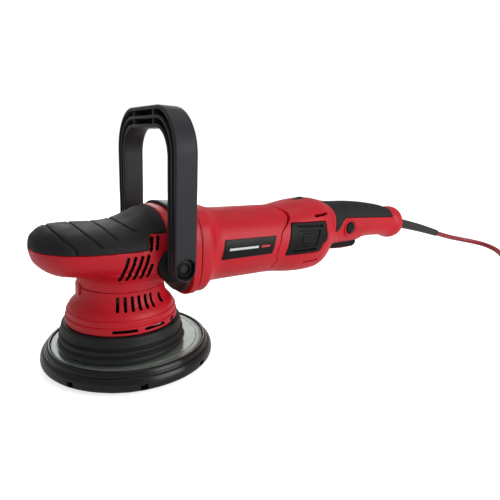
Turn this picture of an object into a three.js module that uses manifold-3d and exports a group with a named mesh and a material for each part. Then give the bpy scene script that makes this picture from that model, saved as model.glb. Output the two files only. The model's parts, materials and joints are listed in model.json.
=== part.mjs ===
// Dual action polisher: a long electric polisher with a vertical D handle, an eccentric drive and a free turning round pad.
// Millimetres. The drive spindle turns about Z through the origin, z = 0 is the face of the pad,
// +X runs back towards the rear handle and the cord, -Y is the operator's left side, +Z is up.
import * as THREE from "three";
import { mergeVertices } from "three/addons/utils/BufferGeometryUtils.js";
import Module from "manifold-3d";

const wasm = await Module();
wasm.setup();

// ---- driving dimensions -----------------------------------------------------------------
const GAP = 0.3; // clearance between pieces that touch
const FACE = 3.5; // height of the pad face in the drawing; the whole group is lowered by it at the end
const ORBIT = 10.5; // spindle axis to pad axis: a 21 mm orbit
const ORBIT_DIR = (38.9 * Math.PI) / 180; // where the eccentric stands at rest
const PAD_X = ORBIT * Math.cos(ORBIT_DIR);
const PAD_Y = ORBIT * Math.sin(ORBIT_DIR);
const PAD_R = 75; // 150 mm backing pad
const PLATE_R = 66.4; // rigid plate in the pad
const PLATE_TOP = 19.1;
const SKIRT_R = 54;
const SKIRT_Z = [21.6, 44.6];
const BELL_R = 46.6;
const BELL_Z = [45, 76.2];
const NECK_R = 36;
const MOTOR_Z = 101; // height of the motor axis
const MOTOR_R = 35;
const FLANGE_X = 57; // gear housing to motor housing joint
const HANDLE_X = 30.5; // bolts of the D handle
const HANDLE_Z = 98;
const HANDLE_W = 127; // outer width of the D handle
const HANDLE_TOP = 222;
const HANDLE_T = 15; // wall of the D handle across
const HANDLE_D = 19.5; // D handle front to back
const GEAR_TEETH = 28;
const PINION_TEETH = 7;
const GEAR_R = 26; // pitch radius at the outside of the crown gear
const GEAR_FACE = 8;
const CORD_D = 7;
const COIL = { x: 526, y: -144, rIn: 24, rOut: 53, h: 29 };

// ---- materials ---------------------------------------------------------------------------
const mat = (name, color, roughness, metalness = 0) =>
  new THREE.MeshStandardMaterial({ name, color, roughness, metalness });
const RED = mat("red_plastic", 0xc4202f, 0.42);
const GRIP = mat("black_grip", 0x2b2b2e, 0.72);
const BLACK = mat("black_plastic", 0x242427, 0.5);
const RUBBER = mat("black_rubber", 0x2c2e30, 0.65);
const FOAM = mat("pad_foam", 0x1d1e20, 0.55);
const PLATE = mat("pad_plate", 0xa9b0a8, 0.45);
const HOOK = mat("hook_fabric", 0x151517, 0.95);
const ALLOY = mat("cast_alloy", 0x9a9c9e, 0.45, 0.9);
const STEEL = mat("steel", 0xb4b6b9, 0.3, 1);
const IRON = mat("core_steel", 0x55565a, 0.5, 0.9);
const COPPER = mat("copper", 0xb06a3c, 0.35, 0.9);
const CARBON = mat("carbon", 0x17171a, 0.6);
const LABEL = mat("label", 0x121213, 0.35);
const CORDM = mat("red_cord", 0x9c2431, 0.5);

const root = new THREE.Group();
root.position.z = -FACE;

// ---- helpers -----------------------------------------------------------------------------
function solid(geometry) {
  let g = geometry.clone();
  g.deleteAttribute("normal");
  g.deleteAttribute("uv");
  g = mergeVertices(g, 1e-4);
  const src = g.index.array;
  const tris = [];
  for (let i = 0; i < src.length; i += 3) {
    const [a, b, c] = [src[i], src[i + 1], src[i + 2]];
    if (a !== b && b !== c && a !== c) tris.push(a, b, c);
  }
  const build = (t) =>
    new wasm.Manifold(
      new wasm.Mesh({
        numProp: 3,
        vertProperties: new Float32Array(g.attributes.position.array),
        triVerts: new Uint32Array(t),
      }),
    );
  const pos = g.attributes.position.array;
  let vol = 0;
  for (let i = 0; i < tris.length; i += 3) {
    const p = (k) => [pos[3 * tris[i + k]], pos[3 * tris[i + k] + 1], pos[3 * tris[i + k] + 2]];
    const [A, B, C] = [p(0), p(1), p(2)];
    vol +=
      A[0] * (B[1] * C[2] - B[2] * C[1]) -
      A[1] * (B[0] * C[2] - B[2] * C[0]) +
      A[2] * (B[0] * C[1] - B[1] * C[0]);
  }
  if (vol < 0) for (let i = 0; i < tris.length; i += 3) [tris[i + 1], tris[i + 2]] = [tris[i + 2], tris[i + 1]];
  return build(tris);
}
function shape(manifold) {
  const m = manifold.getMesh();
  const n = m.numProp;
  const count = m.vertProperties.length / n;
  const pos = new Float32Array(count * 3);
  for (let i = 0; i < count; i++) for (let k = 0; k < 3; k++) pos[3 * i + k] = m.vertProperties[n * i + k];
  const g = new THREE.BufferGeometry();
  g.setAttribute("position", new THREE.BufferAttribute(pos, 3));
  g.setIndex(new THREE.BufferAttribute(new Uint32Array(m.triVerts), 1));
  return g;
}
function add(name, piece, material, parent = root) {
  const g = piece.getMesh ? shape(piece) : piece;
  const mesh = new THREE.Mesh(g, material);
  mesh.name = name;
  parent.add(mesh);
  return mesh;
}
const box = (x0, x1, y0, y1, z0, z1) =>
  solid(new THREE.BoxGeometry(x1 - x0, y1 - y0, z1 - z0).translate((x0 + x1) / 2, (y0 + y1) / 2, (z0 + z1) / 2));
const cylZ = (x, y, z0, z1, r, n = 32, r2 = r) =>
  solid(new THREE.CylinderGeometry(r2, r, z1 - z0, n).rotateX(Math.PI / 2).translate(x, y, (z0 + z1) / 2));
const cylX = (y, z, x0, x1, r, n = 32, r2 = r) =>
  solid(new THREE.CylinderGeometry(r2, r, x1 - x0, n).rotateZ(-Math.PI / 2).translate((x0 + x1) / 2, y, z));
const cylY = (x, z, y0, y1, r, n = 32) =>
  solid(new THREE.CylinderGeometry(r, r, y1 - y0, n).translate(x, (y0 + y1) / 2, z));
// a profile of [radius, height] pairs turned about Z at (x, y); closes on the axis or on itself
function turnZ(profile, n = 40, x = 0, y = 0) {
  const closed = profile[0][0] > 0;
  const pts = profile.map((p) => new THREE.Vector2(p[0], p[1]));
  if (closed) pts.push(pts[0].clone());
  return solid(new THREE.LatheGeometry(pts, n).rotateX(Math.PI / 2).translate(x, y, 0));
}
// the same about X at (y, z): [radius, x] pairs
function turnX(profile, n = 40, y = 0, z = MOTOR_Z) {
  const closed = profile[0][0] > 0;
  const pts = profile.map((p) => new THREE.Vector2(p[0], p[1]));
  if (closed) pts.push(pts[0].clone());
  return solid(new THREE.LatheGeometry(pts, n).rotateZ(-Math.PI / 2).translate(0, y, z));
}
// an outline in X and Z pushed through from y0 to y1
function prismY(points, y0, y1) {
  const s = new THREE.Shape(points.map((p) => new THREE.Vector2(p[0], p[1])));
  const g = new THREE.ExtrudeGeometry(s, { depth: y1 - y0, bevelEnabled: false });
  g.applyMatrix4(new THREE.Matrix4().set(1, 0, 0, 0, 0, 0, 1, y0, 0, 1, 0, 0, 0, 0, 0, 1));
  return solid(g);
}
// an outline in Y and Z pushed through from x0 to x1
function prismX(points, x0, x1) {
  const s = new THREE.Shape(points.map((p) => new THREE.Vector2(p[0], p[1])));
  const g = new THREE.ExtrudeGeometry(s, { depth: x1 - x0, bevelEnabled: false });
  g.applyMatrix4(new THREE.Matrix4().set(0, 0, 1, x0, 1, 0, 0, 0, 0, 1, 0, 0, 0, 0, 0, 1));
  return solid(g);
}
// a body of rounded sections across X; each station is [x, half width, top, bottom, widest height, roundness]
function loftX(stations, n = 32, inset = 0) {
  const st = stations.map((s) => [...s]);
  const k = st.length;
  const pts = [new THREE.Vector2(0, 0)];
  for (let j = 0; j < k; j++) pts.push(new THREE.Vector2(1, j));
  pts.push(new THREE.Vector2(0, k - 1));
  const g = new THREE.LatheGeometry(pts, n);
  const p = g.attributes.position;
  for (let i = 0; i <= n; i++) {
    const a = ((i % n) / n) * 2 * Math.PI;
    for (let j = 0; j < pts.length; j++) {
      const s = st[Math.min(Math.max(j - 1, 0), k - 1)];
      const [x, w, zt, zb, zm, e] = s;
      const idx = i * pts.length + j;
      if (j === 0 || j === pts.length - 1) {
        p.setXYZ(idx, x, 0, zm);
        continue;
      }
      const c = Math.cos(a);
      const q = Math.sin(a);
      const up = Math.max(zt - zm - inset, 0.4);
      const dn = Math.max(zm - zb - inset, 0.4);
      const ww = Math.max(w - inset, 0.4);
      const y = ww * Math.sign(c) * Math.pow(Math.abs(c), 2 / e);
      const z = zm + (q > 0 ? up : dn) * Math.sign(q) * Math.pow(Math.abs(q), 2 / e);
      p.setXYZ(idx, x, Math.abs(y) < 1e-9 ? 0 : y, z);
    }
  }
  return solid(g);
}
const insetNose = (stations, d) => stations.map((s) => [s[0] + d * Math.max(0, 1 - (s[0] - stations[0][0]) / 12), ...s.slice(1)]);
function sweep(points, r, sides, steps, closedEnds = true) {
  const curve = new THREE.CatmullRomCurve3(points.map((p) => new THREE.Vector3(...p)), false, "centripetal");
  const s = new THREE.Shape();
  for (let i = 0; i < sides; i++) {
    const a = (i / sides) * 2 * Math.PI;
    if (i) s.lineTo(r * Math.cos(a), r * Math.sin(a));
    else s.moveTo(r * Math.cos(a), r * Math.sin(a));
  }
  s.closePath();
  return solid(new THREE.ExtrudeGeometry(s, { steps, extrudePath: curve, bevelEnabled: false }));
}
const arc = (cx, cy, r, a0, a1, n) =>
  Array.from({ length: n + 1 }, (_, i) => {
    const a = ((a0 + ((a1 - a0) * i) / n) * Math.PI) / 180;
    return [cx + r * Math.cos(a), cy + r * Math.sin(a)];
  });
const ring = (axis, a, b, p0, p1, ri, ro, n = 20) =>
  axis === "Z"
    ? turnZ([[ri, p0], [ro, p0], [ro, p1], [ri, p1]], n, a, b)
    : turnX([[ri, p0], [ro, p0], [ro, p1], [ri, p1]], n, a, b);

// ---- head --------------------------------------------------------------------------------
// [x, half width, top, bottom, widest height, roundness]
const HEAD = [
  [-70.2, 7, 117, 107, 111.5, 2],
  [-68.6, 15, 121, 101.5, 111.5, 2],
  [-65, 23.5, 124, 97, 111.5, 2.1],
  [-60, 30.5, 126.8, 93, 111.5, 2.2],
  [-53, 36.8, 128.2, 90, 111.5, 2.3],
  [-44, 41.5, 128.4, 88.4, 111.5, 2.3],
  [-34, 44.5, 128, 87, 111.5, 2.4],
  [-22, 46.2, 127.5, 84, 111, 2.4],
  [-10, 46.6, 128, 82, 110.5, 2.4],
  [0, 46.6, 130.2, 80.5, 110, 2.4],
  [10, 46, 134.6, 79.5, 109, 2.4],
  [20, 44.8, 139.4, 78.5, 108, 2.4],
  [27, 43.8, 141.2, 76.8, 107, 2.5],
  [38, 42, 141.4, 73, 106, 2.6],
  [50, 40.6, 140.6, 69.5, 104, 2.7],
  [FLANGE_X - GAP, 40, 140, 67.5, 102, 2.8],
];
const head0 = loftX(HEAD, 24);
const headCover = loftX(insetNose(HEAD, 2.5), 24, 2.5);
const headUnder = loftX(insetNose(HEAD, 2.8), 24, 2.8);
const headInner = loftX(insetNose(HEAD, 5).filter((q, i) => i % 2 === 0 || i > 13), 16, 5.6);
const neck = turnZ([[0, 76.5], [NECK_R, 76.5], [NECK_R + 0.2, 80], [NECK_R + 2.5, 86], [NECK_R + 7, 93], [0, 100]], 28);
// the grip covers the head above this line, seen from the side
const coverLine = [[-90, 112.3], [6.5, 112.3], [9.5, 124.5], [24, 124.5], [24, 170], [-90, 170]];
const coverLineOut = [[-90, 112], [6.8, 112], [9.8, 124.2], [24.3, 124.2], [24.3, 170], [-90, 170]];
const coverRegion = prismY(coverLine, -60, 60);
const coverRegionOut = prismY(coverLineOut, -60, 60);
add("head_grip_cover", head0.subtract(headCover).intersect(coverRegion), GRIP);

// gear housing: the aluminium casting inside the head
const flangeIn = loftX([[47, 35.5, 134.5, 61.5, 99, 2.6], [49, 36.5, 135.5, 60.5, 99, 2.6], [FLANGE_X - GAP, 36.5, 135.5, 59.5, 99, 2.6]], 20);
let gearHousing = cylZ(0, 0, 66, 115, 31, 28)
  .add(cylX(0, MOTOR_Z, 20, 50, 24, 28))
  .add(flangeIn);
gearHousing = gearHousing
  .subtract(cylZ(0, 0, 79, 102, 28.4, 24)) // gear chamber
  .subtract(cylZ(0, 0, 60, 80, 8.5, 24)) // spindle way
  .subtract(cylZ(0, 0, 65, 77, 17.3, 28)) // lower bearing seat
  .subtract(cylZ(0, 0, 101, 112.3, 11.3, 24)) // upper bearing seat
  .subtract(cylX(0, MOTOR_Z, 10, 33, 10.5, 24))
  .subtract(cylX(0, MOTOR_Z, 32, 42.3, 13.3, 24)) // front armature bearing seat
  .subtract(cylX(0, MOTOR_Z, 42, 60, 9, 24))
  .subtract(cylX(0, MOTOR_Z, 52, 60, 31, 32)); // recess in front of the fan
add("gear_housing", gearHousing, ALLOY);

const slot = (x0, z0, x1, z1, w) => {
  // a straight slot in X and Z with round ends, cut through the left and right walls
  const dx = x1 - x0;
  const dz = z1 - z0;
  const l = Math.hypot(dx, dz);
  const a = Math.atan2(dz, dx);
  const pts = [
    ...arc(0, 0, w / 2, 90, 270, 2),
    ...arc(l, 0, w / 2, -90, 90, 2),
  ].map(([u, v]) => [x0 + u * Math.cos(a) - v * Math.sin(a), z0 + u * Math.sin(a) + v * Math.cos(a)]);
  return pts;
};
let headShell = head0
  .subtract(coverRegionOut.subtract(headUnder))
  .add(neck)
  .subtract(headInner)
  .subtract(cylZ(0, 0, 70, 96, NECK_R - 3.2, 28))
  .subtract(loftX([[46.6, 37, 136, 60, 99, 2.6], [60, 37, 136, 59, 99, 2.6]], 20))
  .subtract(cylZ(0, 0, 60, 116, 31.6, 28))
  .subtract(cylX(0, MOTOR_Z, 17.3, 59, 24.7, 22))
  .subtract(cylZ(0, 0, 50, 76.8, 36.9, 26));
const headVents = [
  [-13.6, 88.5, -9.4, 107.2],
  [-8.3, 88.8, -3.9, 107.4],
  [-3, 89, 1.6, 107.6],
  [2.4, 89.2, 6.8, 107.8],
  [7.8, 89.6, 10, 100],
  [8.8, 112.5, 10.6, 121.3],
  [14, 112.8, 15.8, 121.3],
].map((v) => prismY(slot(...v, 2.3), -60, 60));
for (const v of headVents) headShell = headShell.subtract(v);
add("head_shell", headShell, RED);
const headGrown = (d) => loftX(HEAD.map((s) => [s[0], s[1] + d, s[2] + d, s[3], s[4], s[5]]), 24);
add("top_pad", headGrown(2.6).intersect(box(33, 46, -27, 27, 130, 150)).subtract(headGrown(0.3)), BLACK);

// ---- bell, skirt ---------------------------------------------------------------------------
let bell = turnZ(
  [
    [BELL_R, 45], [BELL_R + 0.2, 50.5], [BELL_R - 0.9, 52.5], [BELL_R - 1.4, 56], [BELL_R - 3.2, 59.5],
    [BELL_R - 6.6, 63.5], [38, 66.5], [36.6, 69.5], [NECK_R, 73], [NECK_R, 76.2],
    [33.2, 76.2], [32.6, 66], [38.5, 60], [43, 55], [43.6, 45],
  ],
  28,
);
for (const side of [-1, 1])
  for (let i = 0; i < 6; i++)
    bell = bell.subtract(solid(new THREE.BoxGeometry(26, 2.2, 10).translate(44, 0, 68.5).rotateZ((side * (112 - i * 7.5) * Math.PI) / 180)));
add("bell_shroud", bell, RED);

add(
  "rubber_skirt",
  turnZ(
    [
      [47.2, 44.6], [49.8, 43.4], [51.6, 37], [51.2, 35], [52.8, 33.5], [52.4, 28], [53.6, 26], [SKIRT_R, 21.6],
      [51, 21.6], [49.6, 28], [48.4, 38], [43.6, 40.5], [43.6, 44.6],
    ],
    28,
  ),
  RUBBER,
);

// ---- spindle train -------------------------------------------------------------------------
const spindle = new THREE.Group();
root.add(spindle);
add("spindle_shaft", turnZ([[0, 51.5], [6, 51.5], [6, 78.6], [7.2, 78.6], [7.2, 81.6], [6, 81.6], [6, 100], [5, 100], [5, 111.4], [0, 111.4]], 20), STEEL, spindle);

// straight bevel teeth: each section shrinks towards the apex on the crossing of the two axes
const delta2 = Math.atan2(GEAR_TEETH, PINION_TEETH);
const delta1 = Math.PI / 2 - delta2;
const L0 = GEAR_R / Math.sin(delta2);
const L1 = L0 - GEAR_FACE;
const MODULE = (2 * GEAR_R) / GEAR_TEETH;
// tooth outline over one pitch: [fraction of the pitch, height in modules]
const toothWave = (half, tip, ad, de) => [[-half, -de], [-tip, ad], [tip, ad], [half, -de]];
const gearWave = toothWave(0.27, 0.12, 0.78, 1.15);
const pinWave = toothWave(0.25, 0.11, 0.78, 1.15);
function toothedRing(teeth, wave, phase, rowsOf) {
  // rows: closed loop of rings, each ring gives (angle, height) -> [radius, axial]
  const angles = [];
  for (let t = 0; t < teeth; t++)
    for (const [f, h] of wave) angles.push([((t + f + phase) / teeth) * 2 * Math.PI, h * MODULE]);
  const n = angles.length;
  const rows = rowsOf;
  const g = new THREE.LatheGeometry(Array.from({ length: rows.length + 1 }, (_, i) => new THREE.Vector2(1, i)), n);
  const p = g.attributes.position;
  for (let i = 0; i <= n; i++) {
    const [a, h] = angles[i % n];
    for (let j = 0; j <= rows.length; j++) {
      const [r, ax] = rows[j % rows.length](h);
      p.setXYZ(i * (rows.length + 1) + j, r * Math.cos(a), r * Math.sin(a), ax);
    }
  }
  return g;
}
// crown gear about Z, its teeth face up, apex at z = MOTOR_Z
const cg = (L, h) => {
  const s = L / L0;
  return [L * Math.sin(delta2) + h * s * Math.cos(delta2), MOTOR_Z - L * Math.cos(delta2) + h * s * Math.sin(delta2)];
};
const crown = solid(
  toothedRing(GEAR_TEETH, gearWave, 0.5, [() => [26.3, 89], (h) => cg(L0, h), (h) => cg(L1, h), () => [16, 88]]),
)
  .add(turnZ([[0, 82], [12, 82], [13, 86.4], [22, 87], [22, 90], [12, 91.6], [0, 91.6]], 16))
  .subtract(cylZ(0, 0, 80, 95, 6.4, 14));
add("crown_gear", crown, STEEL, spindle);

// counterweight casting: carries the eccentric bearings and balances the pad
const cwA = ORBIT_DIR + Math.PI;
const sector = (r0, r1, half, z0, z1) => {
  const deg = (cwA * 180) / Math.PI;
  const pts = [...arc(0, 0, r1, deg - half, deg + half, 10), ...arc(0, 0, r0, deg + half, deg - half, 4)];
  const s = new THREE.Shape(pts.map((p) => new THREE.Vector2(p[0], p[1])));
  return solid(new THREE.ExtrudeGeometry(s, { depth: z1 - z0, bevelEnabled: false }).translate(0, 0, z0));
};
const counterweight = cylZ(PAD_X, PAD_Y, 26, 50, 16.4, 24)
  .add(cylZ(0, 0, 49, 58.5, 12, 20))
  .add(cylZ(PAD_X / 2, PAD_Y / 2, 47, 52, 20, 24))
  .add(sector(9, 36, 72, 30, 53))
  .subtract(cylZ(PAD_X, PAD_Y, 20, 47.4, 13.4, 20))
  .subtract(cylZ(0, 0, 51.2, 60, 6.4, 20));
add("counterweight", counterweight, IRON, spindle);
add("pad_bearing_upper", ring("Z", PAD_X, PAD_Y, 39.8, 46.8, 5.3, 13), STEEL, spindle);
add("pad_bearing_lower", ring("Z", PAD_X, PAD_Y, 27, 34, 5.3, 13), STEEL, spindle);

// ---- pad -----------------------------------------------------------------------------------
const pad = new THREE.Group();
pad.position.set(PAD_X, PAD_Y, 0);
root.add(pad);
add("pad_spindle", turnZ([[0, 46.8], [4.2, 46.8], [5, 46.2], [5, 26.6], [7, 26.2], [7, 24.4], [14, 22.6], [14, PLATE_TOP + GAP], [4.3, PLATE_TOP + GAP], [4.3, 33], [0, 33]], 24), STEEL, pad);
add("backing_plate", turnZ([[4.6, 16], [PLATE_R - 0.6, 16], [PLATE_R, 17], [PLATE_R, 18.6], [PLATE_R - 1, PLATE_TOP], [4.6, PLATE_TOP]], 36), PLATE, pad);
let foam = turnZ(
  [
    [9.5, FACE + 2.3], [PAD_R - 3.6, FACE + 2.3], [PAD_R - 1, 6.2], [PAD_R, 8.2], [PAD_R - 0.6, 11], [PAD_R - 3.2, 14.8], [PLATE_R + 3, 18.2], [PLATE_R + 1.6, 19.4], [PLATE_R + 0.6, 19.2],
    [PLATE_R + 0.6, 15.7], [9.5, 15.7],
  ],
  36,
);
for (let i = 0; i < 8; i++) {
  const a = ((-11 + 45 * i) * Math.PI) / 180;
  foam = foam.subtract(solid(new THREE.BoxGeometry(6, 5.4, 4.3).translate(PAD_R - 0.4, 0, 9.75).rotateZ(a)));
}
add("foam_pad", foam, FOAM, pad);
add("hook_face", turnZ([[5.5, FACE], [PAD_R - 6, FACE], [PAD_R - 4.4, FACE + 2], [5.5, FACE + 2]], 36), HOOK, pad);
add("pad_bolt", turnZ([[0, 9], [6.5, 9], [6.5, 15.7], [4, 15.7], [4, 31.5], [0, 31.5]], 20), STEEL, pad);

// ---- bearings and retainer -------------------------------------------------------------------
add("spindle_bearing_lower", ring("Z", 0, 0, 68, 76.7, 6.3, 17), STEEL);
add("spindle_bearing_upper", ring("Z", 0, 0, 103, 111, 5.3, 11), STEEL);
add("bearing_retainer", ring("Z", 0, 0, 62.9, 65.7, 8, 26), ALLOY);
add("armature_bearing_front", ring("X", 0, MOTOR_Z, 33.5, 42, 4.3, 13), STEEL);
add("armature_bearing_rear", ring("X", 0, MOTOR_Z, 173, 181, 4.3, 11), STEEL);

// ---- motor ------------------------------------------------------------------------------------
const MOTOR = [
  [FLANGE_X, 39.8, 139.6, 61, 100.5, 2.7],
  [58.5, 40.2, 140, 60.4, 100.5, 2.7],
  [65, 40.2, 140, 60.4, 100.5, 2.7],
  [70, 38.4, 139.8, 63.2, 101, 2.5],
  [74, 36, 139, 65.6, MOTOR_Z, 2.3],
  [82, MOTOR_R, 136.6, MOTOR_Z - MOTOR_R, MOTOR_Z, 2.05],
  [90, MOTOR_R, MOTOR_Z + MOTOR_R, MOTOR_Z - MOTOR_R, MOTOR_Z, 2],
  [170, MOTOR_R, MOTOR_Z + MOTOR_R, MOTOR_Z - MOTOR_R, MOTOR_Z, 2],
];
// the joint between the motor housing and the rear shells, seen from the side
const seam = [[145, 60], [145, 77], [145.6, 86], [143.2, 91], [146.5, 104], [149.3, 113], [157, 120.5], [162.5, 127], [162, 131.5], [156.5, 135], [152, 137.5], [151, 150]];
const frontOfSeam = prismY([[40, 40], [145, 40], ...seam, [151, 160], [40, 160]], -60, 60);
const backOfSeam = prismY([[400, 40], [145 + GAP, 40], ...seam.map((p) => [p[0] + GAP + 0.1, p[1]]), [151.4, 160], [400, 160]], -60, 60);
let motorHousing = loftX(MOTOR, 28)
  .intersect(frontOfSeam)
  .subtract(cylX(0, MOTOR_Z, 50, 180, 32.3, 20));
add("motor_housing", motorHousing, RED);
const plateOutline = [[83.5, 111.4], [141, 110.9], [136.4, 93.8], [79.5, 93.4]];
add("name_plate", prismY(plateOutline, -36.4, -20).subtract(loftX(MOTOR.map((s) => [s[0], s[1] + 0.2, s[2] + 0.2, s[3] - 0.2, s[4], s[5]]), 28)), LABEL);

add("field_stator", turnX([[20.6, 86], [31.6, 86], [31.6, 136], [20.6, 136]], 24), IRON);
const arm = new THREE.Group();
root.add(arm);
const pg = (L, h) => {
  const s = L / L0;
  return [L * Math.sin(delta1) + h * s * Math.cos(delta1), L * Math.cos(delta1) - h * s * Math.sin(delta1)];
};
const pinTeeth = solid(
  toothedRing(PINION_TEETH, pinWave, 0, [(h) => pg(L0, h), (h) => pg(L1, h), () => [1.5, 17.9], () => [1.5, 28.4]])
    .applyMatrix4(new THREE.Matrix4().set(0, 0, 1, 0, 0, 1, 0, 0, -1, 0, 0, MOTOR_Z, 0, 0, 0, 1)),
);
const shaft = turnX([[0, 18.2], [3, 18.2], [3.4, 22], [3.4, 26.5], [5.4, 28], [5.4, 30], [4, 31], [4, 74.6], [4, 182.5], [0, 182.5]], 16);
add("armature_shaft", pinTeeth.add(shaft), STEEL, arm);
add("cooling_fan", turnX([[4.3, 60.5], [28, 60.5], [28, 62.5], [25, 63.5], [12, 64.5], [12, 70.5], [4.3, 70.5]], 18), BLACK, arm);
add("armature_winding_front", turnX([[4.3, 76], [13, 76], [17.5, 80], [17.5, 85.7], [4.3, 85.7]], 18), COPPER, arm);
add("armature_core", turnX([[4.3, 86], [19.8, 86], [19.8, 136], [4.3, 136]], 20), IRON, arm);
add("armature_winding_rear", turnX([[4.3, 136.3], [17.5, 136.3], [17.5, 142], [12.5, 147.6], [4.3, 147.6]], 18), COPPER, arm);
add("commutator", turnX([[4.3, 148], [13, 148], [13, 150.5], [11.4, 151.5], [11.4, 168], [4.3, 168]], 18), COPPER, arm);

for (const [side, s] of [["left", -1], ["right", 1]]) {
  const y = (a, b) => (s < 0 ? [-b, -a] : [a, b]);
  add(`carbon_brush_${side}`, box(155.5, 163.5, ...y(11.6, 25), MOTOR_Z - 3.4, MOTOR_Z + 3.4), CARBON);
  add(
    `brush_holder_${side}`,
    box(153, 166, ...y(14, 30.4), MOTOR_Z - 6, MOTOR_Z + 6).subtract(box(155.2, 163.8, ...y(13, 27), MOTOR_Z - 3.7, MOTOR_Z + 3.7)),
    BLACK,
  );
}
add("rear_bearing_bracket", turnX([[11.3, 172.5], [14.5, 172.5], [14.5, 181.5], [31.5, 181.5], [33, 184.5], [5, 184.5], [5, 181.5], [11.3, 181.5]], 20), BLACK);

// ---- rear shells: bulge and handle --------------------------------------------------------------
const REAR = [
  [138, 35, 136, 66, MOTOR_Z, 2],
  [150, 35.2, 136, 65.8, MOTOR_Z, 2],
  [162, 36.4, 136.8, 65, 101, 2.15],
  [174, 37.8, 138.6, 64, 101, 2.3],
  [188, 38.6, 140.6, 63.8, 101, 2.4],
  [202, 38.3, 141.8, 64.4, 101.4, 2.4],
  [211, 36.4, 141.4, 66.6, 102, 2.35],
  [219, 32.4, 140, 70.6, 103.4, 2.3],
  [226, 27.4, 138.4, 76, 105.4, 2.3],
  [233, 23.6, 137.2, 81.6, 107.8, 2.3],
  [240, 21.4, 136.6, 86.4, 110, 2.4],
  [250, 20.4, 136.4, 87.2, 111, 2.45],
  [264, 20, 136.2, 87.4, 111.5, 2.45],
  [285, 19.6, 135, 88.4, 111.5, 2.45],
  [292, 19.4, 134.4, 91, 112, 2.45],
  [307, 19, 132.6, 91.8, 112, 2.4],
  [325, 18.4, 129.8, 91.2, 110.4, 2.3],
  [339, 18, 126.6, 89.4, 108, 2.2],
  [343.5, 18.2, 125.8, 88, 106.8, 2.1],
  [347, 19.6, 126.2, 86.4, 106.2, 2],
  [352, 20, 126.2, 85.8, 106, 2],
  [358, 19, 125, 86.6, 105.6, 2],
  [363, 15.8, 121.4, 89.8, 105.2, 2],
  [366, 11.4, 116.6, 93.8, 105, 2],
  [367.2, 8.2, 113.2, 96.8, 105, 2],
];
const rear0 = loftX(REAR, 20);
const rearInner = loftX(REAR.filter((s, i) => s[0] < 364 && (i % 2 === 0 || i > 16)), 12, 3.4);
// grip saddle on the top of the handle, seen from the side
const gripLine = [[221, 150], [221.5, 138.5], [229, 134], [233.5, 128], [235, 121], [233.6, 105.5], [236.5, 104.6], [242, 107.2], [246, 113], [250.5, 118.8], [256, 119.8], [341, 115.6], [341, 150]];
const gripOut = [[220.6, 150], [221.1, 138.3], [228.7, 133.7], [233.1, 127.9], [234.6, 121], [233.2, 105.3], [236.6, 104.2], [242.3, 106.9], [246.3, 112.7], [250.7, 118.4], [256, 119.4], [341.4, 115.2], [341.4, 150]];
const gripRegion = prismY(gripLine, -40, 40);
const gripRegionOut = prismY(gripOut, -40, 40);
add("handle_grip", rear0.subtract(loftX(REAR, 20, 2)).intersect(gripRegion), GRIP);

// side covers over the brushes
const coverOutline = [[161.5, 121.8], [205.5, 121.6], [206.4, 112], [208.4, 107.5], [206.8, 101], [201.6, 98.6], [196.6, 90.4], [154.4, 89.2]];
const coverOutlineOut = [[161.2, 122.2], [205.8, 122], [206.8, 112], [208.8, 107.5], [207.1, 100.8], [201.9, 98.2], [196.9, 90], [153.8, 88.8]];
let rearShell = rear0
  .intersect(backOfSeam)
  .subtract(gripRegionOut.subtract(loftX(REAR, 20, 2.3)))
  .subtract(rearInner)
  .subtract(cylX(0, 104.6, 355, 390, 7.4, 20)) // cord way
  .subtract(box(238, 287.4, -9.3, 9.3, 70, 100)) // trigger slot
  .subtract(box(187, 209, -3.7, 3.7, 128, 150)) // dial slot
  .subtract(prismY(coverOutlineOut, -60, -33))
  .subtract(prismY(coverOutlineOut, 33, 60));
const rearVents = [
  prismY(slot(193, 127.2, 211, 128.6, 2.4), -60, 60),
  prismY(slot(180, 79.2, 197, 80.6, 2.4), -60, 60),
];
for (const v of rearVents) rearShell = rearShell.subtract(v);
// screws hold the two shells together, put in from the right
const SCREWS = [[217, 82], [222, 127], [296, 104], [328, 104]];
const postOuter = loftX(REAR, 20, 1);
let shellRight = rearShell;
let shellLeft = rearShell;
for (const [x, z] of SCREWS) {
  const post = cylY(x, z, -45, 45, 4.4, 16).intersect(postOuter);
  shellRight = shellRight.add(post).subtract(cylY(x, z, -60, 60, 1.9, 12)).subtract(cylY(x, z, 12, 60, 3.7, 16));
  shellLeft = shellLeft.add(post.subtract(cylY(x, z, -10, 60, 1.9, 12)));
}
const halfLeft = box(100, 400, -60, -GAP / 2, 40, 160);
const halfRight = box(100, 400, GAP / 2, 60, 40, 160);
add("rear_shell_left", shellLeft.intersect(halfLeft).subtract(cylY(260.4, 107.6, -40, -5, 7, 24)), RED);
add("rear_shell_right", shellRight.intersect(halfRight), RED);
SCREWS.forEach(([x, z], i) =>
  add(`rear_screw_${i + 1}`, cylY(x, z, 9.6 + 2.7, 9.6 + 5.4, 3.3, 16).add(cylY(x, z, -8.5, 13, 1.6, 12)), STEEL),
);
for (const [side, s] of [["left", -1], ["right", 1]]) {
  const outer = prismY(coverOutline, s < 0 ? -60 : 33.4, s < 0 ? -33.4 : 60);
  let c = rear0.intersect(outer).subtract(loftX(REAR, 20, 2.6));
  for (const v of [slot(170, 117.6, 198, 117.4, 2), slot(168, 93.4, 192, 93.8, 2)]) {
    c = c.subtract(prismY(v, -60, 60));
  }
  add(`brush_cover_${side}`, c, BLACK);
}

// ---- handle internals ------------------------------------------------------------------------------
add("switch_body", box(243, 286, -8, 8, 101.5, 118), BLACK);
add("speed_module", box(186, 212, -13, 13, 115, 121.5), BLACK);
add("cord_clamp", box(340, 348, -10, 10, 100.2, 109.8).subtract(cylX(0, 105, 330, 350, 3.8, 20)), BLACK);

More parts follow.
